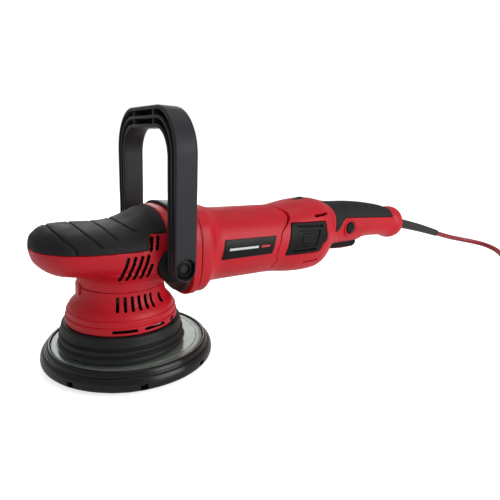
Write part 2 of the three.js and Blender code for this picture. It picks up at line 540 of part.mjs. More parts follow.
// ---- trigger, lock button, speed dial ----------------------------------------------------------------
add(
  "trigger",
  prismY([[240.6, 84.2], [244, 81.6], [262, 80.8], [281, 81.6], [285.4, 84.6], [285.8, 90], [281, 94.4], [243, 94.4], [240.6, 92]], -8.6, 8.6),
  BLACK,
);
const button = new THREE.Mesh(new THREE.CylinderGeometry(6.4, 6.4, 9.4, 20), BLACK);
button.name = "lock_button";
button.position.set(260.4, -16.6, 107.6);
root.add(button);
const dial = new THREE.Mesh(new THREE.CylinderGeometry(10.4, 10.4, 6.4, 24), BLACK);
dial.name = "speed_dial";
dial.position.set(198, 0, 132.6);
root.add(dial);

// ---- D handle --------------------------------------------------------------------------------------
const hw = HANDLE_W / 2;
const hi = hw - HANDLE_T;
function uOutline(w, top, r, iw, itop, ir, bottom) {
  return [
    [-w, bottom], [-iw, bottom],
    ...arc(-iw + ir, itop - ir, ir, 180, 90, 5),
    ...arc(iw - ir, itop - ir, ir, 90, 0, 5),
    [iw, bottom], [w, bottom],
    ...arc(w - r, top - r, r, 0, 90, 6),
    ...arc(-w + r, top - r, r, 90, 180, 6),
  ];
}
const sideView = [
  ...arc(HANDLE_X, HANDLE_Z, HANDLE_D / 2, 180, 360, 12),
  [HANDLE_X + HANDLE_D / 2, HANDLE_TOP + 5],
  [HANDLE_X - HANDLE_D / 2, HANDLE_TOP + 5],
];
const front = HANDLE_X - HANDLE_D / 2;
const handleTop = 205;
let dHandle = prismX(uOutline(hw, HANDLE_TOP, 31, hi, handleTop, 23, 80), front, front + HANDLE_D).intersect(prismY(sideView, -80, 80));
// two grooves in the front face, with a web between them and ribs across
const grooveA = prismX(uOutline(hw - 2.6, HANDLE_TOP - 2.6, 25.4, hw - 6.6, HANDLE_TOP - 7, 22, 112), front - 1, front + 13);
const grooveB = prismX(uOutline(hw - 8.6, HANDLE_TOP - 9.4, 22, hi + 2.4, handleTop + 2.6, 24, 112), front - 1, front + 13);
const ribs = box(front, front + 14, -22, -20, 200, 225).add(box(front, front + 14, 20, 22, 200, 225));
dHandle = dHandle.subtract(grooveA.subtract(ribs)).subtract(grooveB.subtract(ribs));
const boltWay = cylY(HANDLE_X, HANDLE_Z, -80, 80, 4.5, 16)
  .add(cylY(HANDLE_X, HANDLE_Z, -80, -58.5, 8.4, 20))
  .add(cylY(HANDLE_X, HANDLE_Z, 58.5, 80, 8.4, 20));
add("d_handle", dHandle.subtract(boltWay), BLACK);
for (const [side, s] of [["left", -1], ["right", 1]]) {
  const y = (a, b) => (s < 0 ? [-b, -a] : [a, b]);
  // the boss screws to the gear housing and stands in the side of the head
  add(`handle_boss_${side}`, cylY(HANDLE_X, HANDLE_Z, ...y(41.2, 47.6), 17, 24).subtract(headGrown(0.3)).subtract(cylY(HANDLE_X, HANDLE_Z, -70, 70, 4.5, 16)), BLACK);
  const head = cylY(HANDLE_X, HANDLE_Z, ...y(58.8, 64), 8, 20)
    .add(cylY(HANDLE_X, HANDLE_Z, ...y(45.4, 59), 4, 16))
    .subtract(cylY(HANDLE_X, HANDLE_Z, ...y(61, 66), 3.6, 6));
  add(`handle_bolt_${side}`, head, BLACK);
}

// ---- cord ----------------------------------------------------------------------------------------------
const reliefPath = [[358, 0, 104.8], [368, 0, 103.8], [382, 0, 101.4], [400, 0, 97.8], [425, 0, 92.4], [450, 0, 86.4], [469, 0, 81.6]];
add("strain_relief", sweep(reliefPath, 6.4, 12, 10), RUBBER);
const cordPath = [
  [469.4, 0, 81.5], [487, -0.8, 77], [506, -3.2, 72.6], [525, -8.6, 69], [541, -18.5, 66], [549.5, -34, 63.4], [547.5, -52, 59.6],
  [537, -69, 53.6], [522, -84, 46.2], [507, -96, 39.2], [494, -108, 33.2], [486.4, -119.4, 29.9], [484.1, -127.9, 28.8],
];
const coil = turnZ([[COIL.rIn, FACE + 0.1], [COIL.rOut, FACE + 0.1], [COIL.rOut, FACE + COIL.h], [COIL.rIn, FACE + COIL.h]], 32, COIL.x, COIL.y);
const coilOut = turnZ([[COIL.rIn - GAP, -1], [COIL.rOut + GAP, -1], [COIL.rOut + GAP, FACE + COIL.h + GAP], [COIL.rIn - GAP, FACE + COIL.h + GAP]], 32, COIL.x, COIL.y);
add("cord", sweep(cordPath, CORD_D / 2, 8, 26).subtract(coilOut), CORDM);
add("cord_coil", coil, CORDM);
// two pin plug lying beside the coil
const plugBody = loftX(
  [
    [0, 4.2, 12.2, 3.8, 8, 2], [14, 5.4, 13.4, 2.6, 8, 2], [18, 8, 15.4, 0.8, 8, 2.4], [40, 15, 16, 0.3, 8, 3], [48, 17.5, 16, 0.3, 8, 3], [50, 17, 15.6, 0.6, 8, 3],
  ],
  20,
);
const pins = cylX(-9.5, 8, 49, 69, 2.4, 14).add(cylX(9.5, 8, 49, 69, 2.4, 14));
const plug = add("plug", plugBody.add(pins), BLACK);
plug.position.set(COIL.x + 29.5, COIL.y - COIL.rOut + 3.5, FACE);
root.traverse((o) => {
  if (o.isMesh) o.geometry.computeVertexNormals();
});

export default root;
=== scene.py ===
import json
import math

import bmesh
import bpy
import numpy as np
from mathutils import Matrix, Vector


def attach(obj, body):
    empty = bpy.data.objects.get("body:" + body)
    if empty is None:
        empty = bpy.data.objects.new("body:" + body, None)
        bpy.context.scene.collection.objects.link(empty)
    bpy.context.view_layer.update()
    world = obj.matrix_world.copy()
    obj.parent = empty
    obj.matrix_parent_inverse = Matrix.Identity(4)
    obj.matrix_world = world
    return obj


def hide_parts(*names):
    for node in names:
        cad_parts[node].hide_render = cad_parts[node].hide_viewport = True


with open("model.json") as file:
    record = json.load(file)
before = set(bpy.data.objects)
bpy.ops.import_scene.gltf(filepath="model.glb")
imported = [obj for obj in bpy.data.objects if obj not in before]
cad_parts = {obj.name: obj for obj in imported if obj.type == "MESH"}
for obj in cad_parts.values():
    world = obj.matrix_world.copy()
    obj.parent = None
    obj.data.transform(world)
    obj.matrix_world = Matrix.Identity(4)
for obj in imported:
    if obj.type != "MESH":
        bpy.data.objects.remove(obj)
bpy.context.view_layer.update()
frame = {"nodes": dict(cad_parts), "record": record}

nodes = frame["nodes"]
MM = 0.001
FACE = 3.5  # the drawing's numbers are millimetres with the pad face at this height

# ---- camera -------------------------------------------------------------------------------------
YAW, PITCH, ROLL = -0.6153, 0.2375, 0.0456
EYE = (-0.11506, -0.35326, 0.19081)
cy_, sy_ = math.cos(YAW), math.sin(YAW)
cp_, sp_ = math.cos(PITCH), math.sin(PITCH)
fwd = Vector((-sy_ * cp_, cy_ * cp_, -sp_))
rgt = Vector((cy_, sy_, 0.0))
upv = rgt.cross(fwd)
cr_, sr_ = math.cos(ROLL), math.sin(ROLL)
rgt2 = rgt * cr_ + upv * sr_
up2 = rgt * -sr_ + upv * cr_
cam_data = bpy.data.cameras.new("camera")
cam_data.lens = 36.0 * 430 / 500
cam_data.sensor_width = 36.0
cam_data.sensor_fit = "HORIZONTAL"
cam_data.clip_start = 0.01
cam_data.clip_end = 300
cam = bpy.data.objects.new("camera", cam_data)
bpy.context.scene.collection.objects.link(cam)
m = Matrix.Identity(4)
for i_ in range(3):
    m[i_][0], m[i_][1], m[i_][2], m[i_][3] = rgt2[i_], up2[i_], -fwd[i_], EYE[i_]
cam.matrix_world = m
bpy.context.scene.camera = cam


# ---- numbers ------------------------------------------------------------------------------------
def row(p):
    p = np.array(p, float)
    p[..., 2] -= FACE
    return p * MM


def smooth01(t):
    t = np.clip(t, 0, 1)
    return t * t * (3 - 2 * t)


def catmull(points, per):
    """A centripetal curve through the points, evenly sampled between each two."""
    p = [np.array(q, float) for q in points]
    p = [2 * p[0] - p[1]] + p + [2 * p[-1] - p[-2]]
    out = []
    for i in range(1, len(p) - 2):
        p0, p1, p2, p3 = p[i - 1 : i + 3]
        t0 = 0.0
        t1 = t0 + max(np.linalg.norm(p1 - p0), 1e-6) ** 0.5
        t2 = t1 + max(np.linalg.norm(p2 - p1), 1e-6) ** 0.5
        t3 = t2 + max(np.linalg.norm(p3 - p2), 1e-6) ** 0.5
        for k in range(per):
            t = t1 + (t2 - t1) * k / per
            a1 = (t1 - t) / (t1 - t0) * p0 + (t - t0) / (t1 - t0) * p1
            a2 = (t2 - t) / (t2 - t1) * p1 + (t - t1) / (t2 - t1) * p2
            a3 = (t3 - t) / (t3 - t2) * p2 + (t - t2) / (t3 - t2) * p3
            b1 = (t2 - t) / (t2 - t0) * a1 + (t - t0) / (t2 - t0) * a2
            b2 = (t3 - t) / (t3 - t1) * a2 + (t - t1) / (t3 - t1) * a3
            out.append((t2 - t) / (t2 - t1) * b1 + (t - t1) / (t2 - t1) * b2)
    out.append(p[-2])
    return np.array(out)


def pchip(x, y, q):
    """Smooth interpolation that doesn't overshoot."""
    x, y, q = np.array(x, float), np.array(y, float), np.array(q, float)
    h = np.diff(x)
    d = np.diff(y) / h
    s = np.zeros_like(y)
    for i in range(1, len(y) - 1):
        if d[i - 1] * d[i] > 0:
            w1, w2 = 2 * h[i] + h[i - 1], h[i] + 2 * h[i - 1]
            s[i] = (w1 + w2) / (w1 / d[i - 1] + w2 / d[i])
    s[0], s[-1] = d[0], d[-1]
    k = np.clip(np.searchsorted(x, q, side="right") - 1, 0, len(x) - 2)
    t = (q - x[k]) / h[k]
    t = np.clip(t, 0, 1)
    return (
        (1 + 2 * t) * (1 - t) ** 2 * y[k]
        + t * (1 - t) ** 2 * h[k] * s[k]
        + t * t * (3 - 2 * t) * y[k + 1]
        + t * t * (t - 1) * h[k] * s[k + 1]
    )


def sd_poly(px, pz, poly):
    """Signed distance to a polygon, negative inside."""
    best = np.full(px.shape, 1e9)
    inside = np.zeros(px.shape, bool)
    n = len(poly)
    for i in range(n):
        ax, az = poly[i]
        bx, bz = poly[(i + 1) % n]
        ex, ez = bx - ax, bz - az
        t = np.clip(((px - ax) * ex + (pz - az) * ez) / (ex * ex + ez * ez), 0, 1)
        best = np.minimum(best, np.hypot(px - ax - t * ex, pz - az - t * ez))
        if az != bz:
            cross = (az > pz) != (bz > pz)
            inside ^= cross & (px < (bx - ax) * (pz - az) / (bz - az) + ax)
    return np.where(inside, -best, best)


def sd_capsule(px, pz, x0, z0, x1, z1, r):
    ex, ez = x1 - x0, z1 - z0
    t = np.clip(((px - x0) * ex + (pz - z0) * ez) / (ex * ex + ez * ez), 0, 1)
    return np.hypot(px - x0 - t * ex, pz - z0 - t * ez) - r


def edge(sd, r=0.5, deep=3.0, w=0.4):
    """How far a surface drops near an edge: sd is the distance inside the piece, r the round of its edge."""
    t = np.clip(1 - sd / r, 0, 1)
    d = r * (1 - np.sqrt(np.clip(1 - t * t, 0, 1)))
    return np.where(sd < 0, r + (deep - r) * np.clip(-sd / w, 0, 1), d)


def groove(dist, half, deep):
    """A V groove with soft lips along dist = 0."""
    t = np.clip(1 - dist / half, 0, 1)
    return deep * t * t * (3 - 2 * t)


def spaced(*spans):
    """Positions from (start, end, step) spans."""
    out = []
    for a, b, s in spans:
        n = max(1, int(round((b - a) / s)))
        out += [a + (b - a) * i / n for i in range(n)]
    out.append(spans[-1][1])
    return np.array(out)


# ---- mesh building --------------------------------------------------------------------------------
def grid_faces(nu, nv, wrap_v=False, wrap_u=False):
    i = np.arange(nu if wrap_u else nu - 1)
    j = np.arange(nv if wrap_v else nv - 1)
    a, b = np.meshgrid(i, j, indexing="ij")
    a2, b2 = (a + 1) % nu, (b + 1) % nv
    return np.stack([a * nv + b, a2 * nv + b, a2 * nv + b2, a * nv + b2], -1)


class Build:
    """Collects vertices and faces, in the drawing's millimetres."""

    def __init__(self):
        self.v, self.f, self.m, self.n = [], [], [], 0

    def put(self, verts, faces, mat=0):
        verts = np.asarray(verts, float).reshape(-1, 3)
        faces = [tuple(int(k) + self.n for k in q) for q in faces]
        self.v.append(verts)
        self.f += faces
        self.m += [mat] * len(faces)
        self.n += len(verts)

    def tube(self, p, mat=0, cap0=True, cap1=True):
        """Rings of points, closed round, with fans on the ends."""
        nu, nv = p.shape[:2]
        f = grid_faces(nu, nv, True).reshape(-1, 4)
        v = p.reshape(-1, 3)
        extra, tris = [], []
        if cap0:
            c = len(v) + len(extra)
            extra.append(p[0].mean(0))
            tris += [(c, (j + 1) % nv, j) for j in range(nv)][::-1]
            tris = [(a, c2, b) for a, b, c2 in tris]
            tris = [(a, c2, b) for a, b, c2 in tris]
        if cap1:
            c = len(v) + len(extra)
            extra.append(p[-1].mean(0))
            o = (nu - 1) * nv
            tris += [(c, o + j, o + (j + 1) % nv) for j in range(nv)]
        if extra:
            v = np.concatenate([v, np.array(extra)])
        self.put(v, [tuple(q) for q in f.tolist()] + tris, mat)

    def lathe(self, profile, n=96, at=(0, 0), axis="Z", mat=0, wobble=None, closed=None):
        """[radius, height] pairs about an axis. A profile that starts off the axis closes on itself."""
        p = np.array(profile, float)
        if closed is None:
            closed = p[0][0] > 1e-6
        th = np.arange(n) / n * 2 * math.pi
        r, h = p[:, 0][:, None], p[:, 1][:, None]
        c, s = np.cos(th)[None, :], np.sin(th)[None, :]
        if wobble is not None:
            r = r + wobble(r + 0 * c, h + 0 * c, th[None, :] + 0 * r)
        x, y, z = r * c, r * s, h + 0 * c
        if axis == "Z":
            q = np.stack([x + at[0], y + at[1], z], -1)
        elif axis == "X":
            q = np.stack([z, x + at[0], y + at[1]], -1)
        else:
            q = np.stack([y + at[0], z, x + at[1]], -1)
        if closed:
            f = grid_faces(len(p), n, True, True).reshape(-1, 4)
            self.put(q.reshape(-1, 3), f.tolist(), mat)
        else:
            v = list(q[1:-1].reshape(-1, 3))
            k = len(p) - 2
            f = grid_faces(k, n, True).reshape(-1, 4).tolist()
            a, b = len(v), len(v) + 1
            v += [q[0].mean(0), q[-1].mean(0)]
            f += [(a, (j + 1) % n, j) for j in range(n)]
            f += [(b, (k - 1) * n + j, (k - 1) * n + (j + 1) % n) for j in range(n)]
            self.put(v, f, mat)

    def skin(self, outer, inner, keep=None, wrap_v=False, mat=0, painted_shade_pit=None):
        """A wall between two like grids, closed round every edge of the faces kept. The pit mask marks the outer faces
        that are down a slot; when it is given, those faces, all inner faces and the edge walls get material 1, a
        near-black painted shade for the dark inside of the slots.
        """
        nu, nv = outer.shape[:2]
        f = grid_faces(nu, nv, wrap_v)
        if keep is None:
            keep = np.ones(f.shape[:2], bool)
        off = nu * nv
        faces = f[keep].tolist() + (f[keep][:, ::-1] + off).tolist()
        a, b = np.meshgrid(np.arange(nu), np.arange(f.shape[1]), indexing="ij")
        b2 = (b + 1) % nv
        kp = np.zeros((nu + 1, f.shape[1]), bool)
        kp[1:-1] = keep
        start = kp[1:] & ~kp[:-1]
        end = ~kp[1:] & kp[:-1]
        o1, o2 = a * nv + b, a * nv + b2
        q = np.stack([o1, o2, o2 + off, o1 + off], -1)
        faces += q[start].tolist()
        q = np.stack([o2, o1, o1 + off, o2 + off], -1)
        faces += q[end].tolist()
        fv = f.shape[1]
        if wrap_v:
            left = np.roll(keep, 1, 1)
            cols = np.arange(fv)
            here = keep
        else:
            pad = np.zeros((keep.shape[0], 1), bool)
            left = np.concatenate([pad, keep], 1)
            here = np.concatenate([keep, pad], 1)
            cols = np.arange(fv + 1)
        a, b = np.meshgrid(np.arange(nu - 1), cols, indexing="ij")
        o1, o2 = a * nv + b, (a + 1) * nv + b
        start = here & ~left
        end = ~here & left
        q = np.stack([o2, o1, o1 + off, o2 + off], -1)
        faces += q[start].tolist()
        q = np.stack([o1, o2, o2 + off, o1 + off], -1)
        faces += q[end].tolist()
        verts = np.concatenate([outer.reshape(-1, 3), inner.reshape(-1, 3)])
        used = np.unique(np.array(faces))
        back = np.full(len(verts), -1)
        back[used] = np.arange(len(used))
        self.put(verts[used], back[np.array(faces)].tolist(), mat)
        if painted_shade_pit is not None:
            first = len(self.m) - len(faces)
            shade_down = painted_shade_pit[keep]
            # material 1 here is painted shade: slot faces, inner faces and edge walls are coloured near black to stand
            # for shade, not their own red
            self.m[first:] = [mat if k < len(shade_down) and not shade_down[k] else 1 for k in range(len(faces))]

    def prism(self, outline, lo, hi, axis="Y", r=1.0, steps=4, mat=0):
        """An outline pushed through along an axis, with its two rims rounded by r."""
        o = np.array(outline, float)
        area = 0.5 * np.sum(o[:, 0] * np.roll(o[:, 1], -1) - np.roll(o[:, 0], -1) * o[:, 1])
        if area < 0:
            o = o[::-1]
        d1 = o - np.roll(o, 1, 0)
        d2 = np.roll(o, -1, 0) - o
        d1 /= np.maximum(np.linalg.norm(d1, axis=1, keepdims=True), 1e-9)
        d2 /= np.maximum(np.linalg.norm(d2, axis=1, keepdims=True), 1e-9)
        t = d1 + d2
        t /= np.maximum(np.linalg.norm(t, axis=1, keepdims=True), 1e-9)
        nrm = np.stack([t[:, 1], -t[:, 0]], -1)
        half = np.sqrt(np.clip((1 + (d1 * d2).sum(1)) / 2, 0.2, 1))[:, None]
        rings = []
        for k in range(steps + 1):
            a = math.pi / 2 * k / steps
            rings.append((lo + r * (1 - math.sin(a)), r * (1 - math.cos(math.pi / 2 - a))))
        low = [(lo + r * (1 - math.sin(math.pi / 2 * (steps - k) / steps)), r * (1 - math.cos(math.pi / 2 * (steps - k) / steps))) for k in range(steps + 1)]
        rows_ = [(h, r - ins) for h, ins in low]
        rows_ = [(lo + r * (1 - math.cos(math.pi / 2 * k / steps)), r * (1 - math.sin(math.pi / 2 * k / steps))) for k in range(steps + 1)]
        rows_ += [(hi - (h - lo), ins) for h, ins in rows_[::-1]]
        q = []
        for h, ins in rows_:
            w = o - nrm * ins / half
            if axis == "Y":
                q.append(np.stack([w[:, 0], np.full(len(w), h), w[:, 1]], -1))
            elif axis == "X":
                q.append(np.stack([np.full(len(w), h), w[:, 0], w[:, 1]], -1))
            else:
                q.append(np.stack([w[:, 0], w[:, 1], np.full(len(w), h)], -1))
        q = np.array(q)
        nu, nv = q.shape[:2]
        f = grid_faces(nu, nv, True).reshape(-1, 4).tolist()
        f.append(list(range(nv)))
        f.append([(nu - 1) * nv + j for j in range(nv)][::-1])
        self.put(q.reshape(-1, 3), f, mat)

    def make(self, name, mats, body, replaces=(), angle=38):
        verts = row(np.concatenate(self.v))
        me = bpy.data.meshes.new(name)
        me.from_pydata(verts.tolist(), [], self.f)
        for mt in mats if isinstance(mats, (list, tuple)) else [mats]:
            me.materials.append(mt)
        me.polygons.foreach_set("material_index", self.m)
        bm = bmesh.new()
        bm.from_mesh(me)
        bmesh.ops.recalc_face_normals(bm, faces=bm.faces)
        bm.to_mesh(me)
        bm.free()
        me.polygons.foreach_set("use_smooth", [True] * len(me.polygons))
        me.set_sharp_from_angle(angle=math.radians(angle))
        me.update()
        ob = bpy.data.objects.new(name, me)
        bpy.context.scene.collection.objects.link(ob)
        if replaces:
            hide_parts(*replaces)
        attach(ob, body)
        return ob


def rounded(points, r, seg=4):
    """A polygon with each corner rounded."""
    p = np.array(points, float)
    n = len(p)
    out = []
    for i in range(n):
        a, b, c = p[i - 1], p[i], p[(i + 1) % n]
        rr = min(r if np.isscalar(r) else r[i], 0.45 * np.linalg.norm(a - b), 0.45 * np.linalg.norm(c - b))
        u = (a - b) / np.linalg.norm(a - b)
        w = (c - b) / np.linalg.norm(c - b)
        s, e = b + u * rr, b + w * rr
        for k in range(seg + 1):
            t = k / seg
            out.append((1 - t) ** 2 * s + 2 * t * (1 - t) * b + t * t * e)
    return np.array(out)


def densify(points, step, closed=True):
    p = np.array(points, float)
    out = []
    for i in range(len(p) if closed else len(p) - 1):
        a, b = p[i], p[(i + 1) % len(p)]
        k = max(1, int(round(np.linalg.norm(b - a) / step)))
        out += [a + (b - a) * t / k for t in range(k)]
    if not closed:
        out.append(p[-1])
    return np.array(out)


# ---- materials --------------------------------------------------------------------------------------
def srgb(r, g, b):
    return tuple(((c / 255) / 12.92 if c / 255 <= 0.04045 else ((c / 255 + 0.055) / 1.055) ** 2.4) for c in (r, g, b)) + (1.0,)


def material(
    name, color, rough=0.45, var=0.08, var_scale=60, grain=1800, grain_h=0.02, mottle=0.0, streak=None,
    wear=0.0, wear_color=None, rough_var=0.08, metallic=0.0, coat=0.0, sheen=0.0, extra=None, spec=0.5, scratch=0.0,
):
    """A plastic, rubber or metal surface: mould or machining grain, uneven gloss, slight colour drift and rubbed edges."""
    mt = bpy.data.materials.new(name)
    mt.use_nodes = True
    nt = mt.node_tree
    nt.nodes.clear()
    N, L = nt.nodes.new, nt.links.new
    out = N("ShaderNodeOutputMaterial")
    bs = N("ShaderNodeBsdfPrincipled")
    L(bs.outputs[0], out.inputs[0])
    bs.inputs["Metallic"].default_value = metallic
    bs.inputs["Coat Weight"].default_value = coat
    bs.inputs["Coat Roughness"].default_value = 0.2
    bs.inputs["Sheen Weight"].default_value = sheen
    bs.inputs["Specular IOR Level"].default_value = spec
    tc = N("ShaderNodeTexCoord")
    vec = tc.outputs["Object"]
    big = N("ShaderNodeTexNoise")
    big.inputs["Scale"].default_value = var_scale
    big.inputs["Detail"].default_value = 4
    L(vec, big.inputs["Vector"])
    fine = N("ShaderNodeTexNoise")
    fine.inputs["Scale"].default_value = grain
    fine.inputs["Detail"].default_value = 3
    fine.inputs["Roughness"].default_value = 0.6
    if streak:
        mp = N("ShaderNodeMapping")
        mp.inputs["Scale"].default_value = streak
        L(vec, mp.inputs["Vector"])
        L(mp.outputs[0], fine.inputs["Vector"])
    else:
        L(vec, fine.inputs["Vector"])

    def mix(fac, a, b, kind="RGBA", blend="MIX"):
        mx = N("ShaderNodeMix")
        mx.data_type = kind
        if kind == "RGBA":
            mx.blend_type = blend
            fa, ia, ib, o = mx.inputs[0], mx.inputs[6], mx.inputs[7], mx.outputs[2]
        else:
            fa, ia, ib, o = mx.inputs[0], mx.inputs[2], mx.inputs[3], mx.outputs[0]
        for s, v in ((fa, fac), (ia, a), (ib, b)):
            if isinstance(v, bpy.types.NodeSocket):
                L(v, s)
            else:
                s.default_value = v
        return o

    def ramp(src, lo, hi, a=0.0, b=1.0):
        mr = N("ShaderNodeMapRange")
        mr.inputs["From Min"].default_value = lo
        mr.inputs["From Max"].default_value = hi
        mr.inputs["To Min"].default_value = a
        mr.inputs["To Max"].default_value = b
        L(src, mr.inputs["Value"])
        return mr.outputs[0]

    dark = tuple(c * (1 - var) for c in color[:3]) + (1,)
    lite = tuple(min(1, c * (1 + var)) for c in color[:3]) + (1,)
    col = mix(ramp(big.outputs["Fac"], 0.35, 0.65), dark, lite)
    if mottle:
        dk = tuple(c * (1 - mottle) for c in color[:3]) + (1,)
        col = mix(ramp(fine.outputs["Fac"], 0.45, 0.75), col, dk)
    if extra:
        col = extra(N, L, mix, ramp, vec, col)
    rgh = ramp(big.outputs["Fac"], 0.3, 0.7, rough - rough_var, rough + rough_var)
    if wear:
        geo = N("ShaderNodeNewGeometry")
        w = ramp(geo.outputs["Pointiness"], 0.52, 0.6)
        wn = N("ShaderNodeTexNoise")
        wn.inputs["Scale"].default_value = 220
        wn.inputs["Detail"].default_value = 5
        L(vec, wn.inputs["Vector"])
        mm = N("ShaderNodeMath")
        mm.operation = "MULTIPLY"
        L(w, mm.inputs[0])
        L(ramp(wn.outputs["Fac"], 0.42, 0.62, 0.0, wear), mm.inputs[1])
        col = mix(mm.outputs[0], col, wear_color or tuple(min(1, c * 1.6 + 0.03) for c in color[:3]) + (1,))
    L(col, bs.inputs["Base Color"])
    if scratch:
        sc = N("ShaderNodeTexNoise")
        sc.inputs["Scale"].default_value = 90
        sc.inputs["Detail"].default_value = 8
        sc.inputs["Distortion"].default_value = 1.4
        L(vec, sc.inputs["Vector"])
        rgh = mix(ramp(sc.outputs["Fac"], 0.52, 0.7, 0, scratch), rgh, 0.75, "FLOAT")
    L(rgh, bs.inputs["Roughness"])
    bump = N("ShaderNodeBump")
    bump.inputs["Strength"].default_value = 1.0
    bump.inputs["Distance"].default_value = grain_h * MM
    L(fine.outputs["Fac"], bump.inputs["Height"])
    wav = N("ShaderNodeBump")
    wav.inputs["Strength"].default_value = 0.6
    wav.inputs["Distance"].default_value = 0.05 * MM
    L(big.outputs["Fac"], wav.inputs["Height"])
    L(bump.outputs[0], wav.inputs["Normal"])
    L(wav.outputs[0], bs.inputs["Normal"])
    return mt


RED = material("red_plastic", srgb(196, 16, 34), 0.42, 0.05, 35, 2600, 0.012, wear=0.2, wear_color=srgb(214, 50, 60), rough_var=0.06, scratch=0.15, spec=0.35)
GRIP = material("black_grip", srgb(25, 25, 27), 0.66, 0.12, 70, 1500, 0.05, mottle=0.12, wear=0.35, wear_color=srgb(60, 60, 64), spec=0.3)
BLACK = material("black_plastic", srgb(18, 18, 20), 0.46, 0.1, 80, 2200, 0.03, wear=0.3, wear_color=srgb(42, 43, 47), spec=0.16)
HANDLE = material("handle_plastic", srgb(36, 36, 41), 0.5, 0.08, 45, 2400, 0.022, streak=(1.0, 1.0, 0.3), wear=0.4, wear_color=srgb(70, 70, 76), rough_var=0.07, spec=0.3, scratch=0.3)
SOCKET = material("bolt_black", srgb(6, 6, 7), 0.3, 0.1, 90, 2500, 0.01, wear=0.3, wear_color=srgb(40, 40, 44), spec=0.16)
RUBBER = material("black_rubber", srgb(24, 26, 28), 0.5, 0.12, 60, 1200, 0.03, mottle=0.08, wear=0.25, wear_color=srgb(54, 57, 61), spec=0.3)
FOAM = material("pad_foam", srgb(10, 11, 13), 0.24, 0.12, 50, 1400, 0.008, rough_var=0.05, wear=0.15, wear_color=srgb(40, 42, 46), scratch=0.2, spec=0.4)
HOOKS = material("hook_fabric", srgb(24, 24, 25), 0.95, 0.3, 300, 1100, 0.5, mottle=0.5, sheen=0.3)
ALLOY = material("cast_alloy", srgb(86, 87, 90), 0.55, 0.1, 90, 1300, 0.08, metallic=0.85, wear=0.3)
STEEL = material("steel", srgb(176, 178, 181), 0.3, 0.06, 70, 900, 0.01, streak=(1, 1, 12), metallic=1.0, rough_var=0.08)
IRON = material("core_steel", srgb(92, 93, 97), 0.5, 0.15, 120, 900, 0.04, streak=(6, 1, 1), metallic=0.9)
COPPER = material("copper", srgb(176, 104, 58), 0.35, 0.15, 200, 900, 0.05, streak=(1, 6, 6), metallic=0.9)
CARBON = material("carbon", srgb(30, 30, 33), 0.6, 0.2, 200, 1500, 0.03)
CORD = material("red_cord", srgb(150, 34, 50), 0.42, 0.08, 60, 1500, 0.015, rough_var=0.08)
# near-black painted shade for the walls down the vents and recesses and for the shells' inner sides, which are red on
# the real tool
SLOT_PAINTED_SHADE = material("slot_painted_shade", srgb(13, 8, 9), 0.75, 0.2, 120, 1500, 0.02, spec=0.1)
RELIEF = material("relief_rubber", srgb(36, 30, 30), 0.5, 0.12, 80, 1500, 0.02, wear=0.3)
PLUGM = material("plug_rubber", srgb(32, 32, 34), 0.5, 0.1, 80, 1500, 0.03, wear=0.4)
PLATE = material("pad_plate", srgb(138, 148, 139), 0.3, 0.05, 60, 1800, 0.003, rough_var=0.04, metallic=0.3, spec=0.5)
# a darker copy of the plate colour, painted shade for the plate's shaded side; no part uses it
PLATE_PAINTED_SHADE = material("pad_plate_painted_shade", srgb(104, 106, 103), 0.45, 0.08, 60, 1500, 0.02)
PLATED = material("label_black", srgb(8, 8, 9), 0.34, 0.1, 120, 2500, 0.005, spec=0.2)
INKW = material("label_light", srgb(214, 214, 214), 0.4, 0.03, 120, 2500, 0.004)
INKR = material("label_red", srgb(196, 30, 44), 0.4, 0.05, 120, 2500, 0.004)
TOPPAD = material("top_pad_green", srgb(120, 130, 124), 0.5, 0.08, 90, 1500, 0.02)

CAD_LOOKS = {
    "red_plastic": RED, "black_grip": GRIP, "black_plastic": BLACK, "handle_plastic": HANDLE, "handle_bolt": SOCKET,
    "black_rubber": RUBBER, "pad_foam": FOAM, "pad_plate": PLATE, "hook_fabric": HOOKS, "cast_alloy": ALLOY, "steel": STEEL,
    "core_steel": IRON, "copper": COPPER, "carbon": CARBON, "label": PLATED, "red_cord": CORD, "plug_rubber": PLUGM,
}
for sp in frame["record"]["subparts"]:
    ob = nodes[sp["node"]]
    ob.data.materials.clear()
    ob.data.materials.append(CAD_LOOKS[sp["material_slot"]])

# ---- cord ---------------------------------------------------------------------------------------------
COIL = (526.0, -144.0)
R_IN, R_OUT = 27.5, 49.5
PITCH_R = (R_OUT - R_IN) / 3
LAYER = 7.15
LEAD = [
    [469.4, 0, 81.5], [487, -0.8, 77], [506, -3.2, 72.6], [525, -8.6, 69], [541, -18.5, 66], [549.5, -34, 63.4], [547.5, -52, 59.6],
    [537, -69, 53.6], [522, -84, 46.2], [507, -96, 39.2], [494, -108, 33.2], [486.8, -118.6, 30.1],
]


def coil_path():
    """Four flat spirals on each other: in, out, in and out again, then off to the plug."""
    pts = []
    a = math.radians(159)
    r = math.hypot(484.1 - COIL[0], -127.9 - COIL[1])
    z = FACE + 0.1 + 3.5 + 3 * LAYER
    drop = math.radians(112.3)
    step = math.radians(9)
    sense = -1
    for layer in range(4):
        goal = R_IN if sense < 0 else R_OUT
        turns = abs(goal - r) / PITCH_R
        n = int(round(turns * 2 * math.pi / step))
        r0 = r
        for k in range(1 if layer == 0 else 0, n):
            t = k / n
            b = a + turns * 2 * math.pi * t
            q = r0 + (goal - r0) * t
            pts.append([COIL[0] + q * math.cos(b), COIL[1] + q * math.sin(b), z])
        a += turns * 2 * math.pi
        r = goal
        if layer < 3:
            n = int(round(drop / step))
            for k in range(n):
                t = k / n
                b = a + drop * t
                pts.append([COIL[0] + r * math.cos(b), COIL[1] + r * math.sin(b), z - LAYER * t])
            a += drop
            z -= LAYER
        sense = -sense
    pts.append([COIL[0] + r * math.cos(a), COIL[1] + r * math.sin(a), z])
    return pts, z


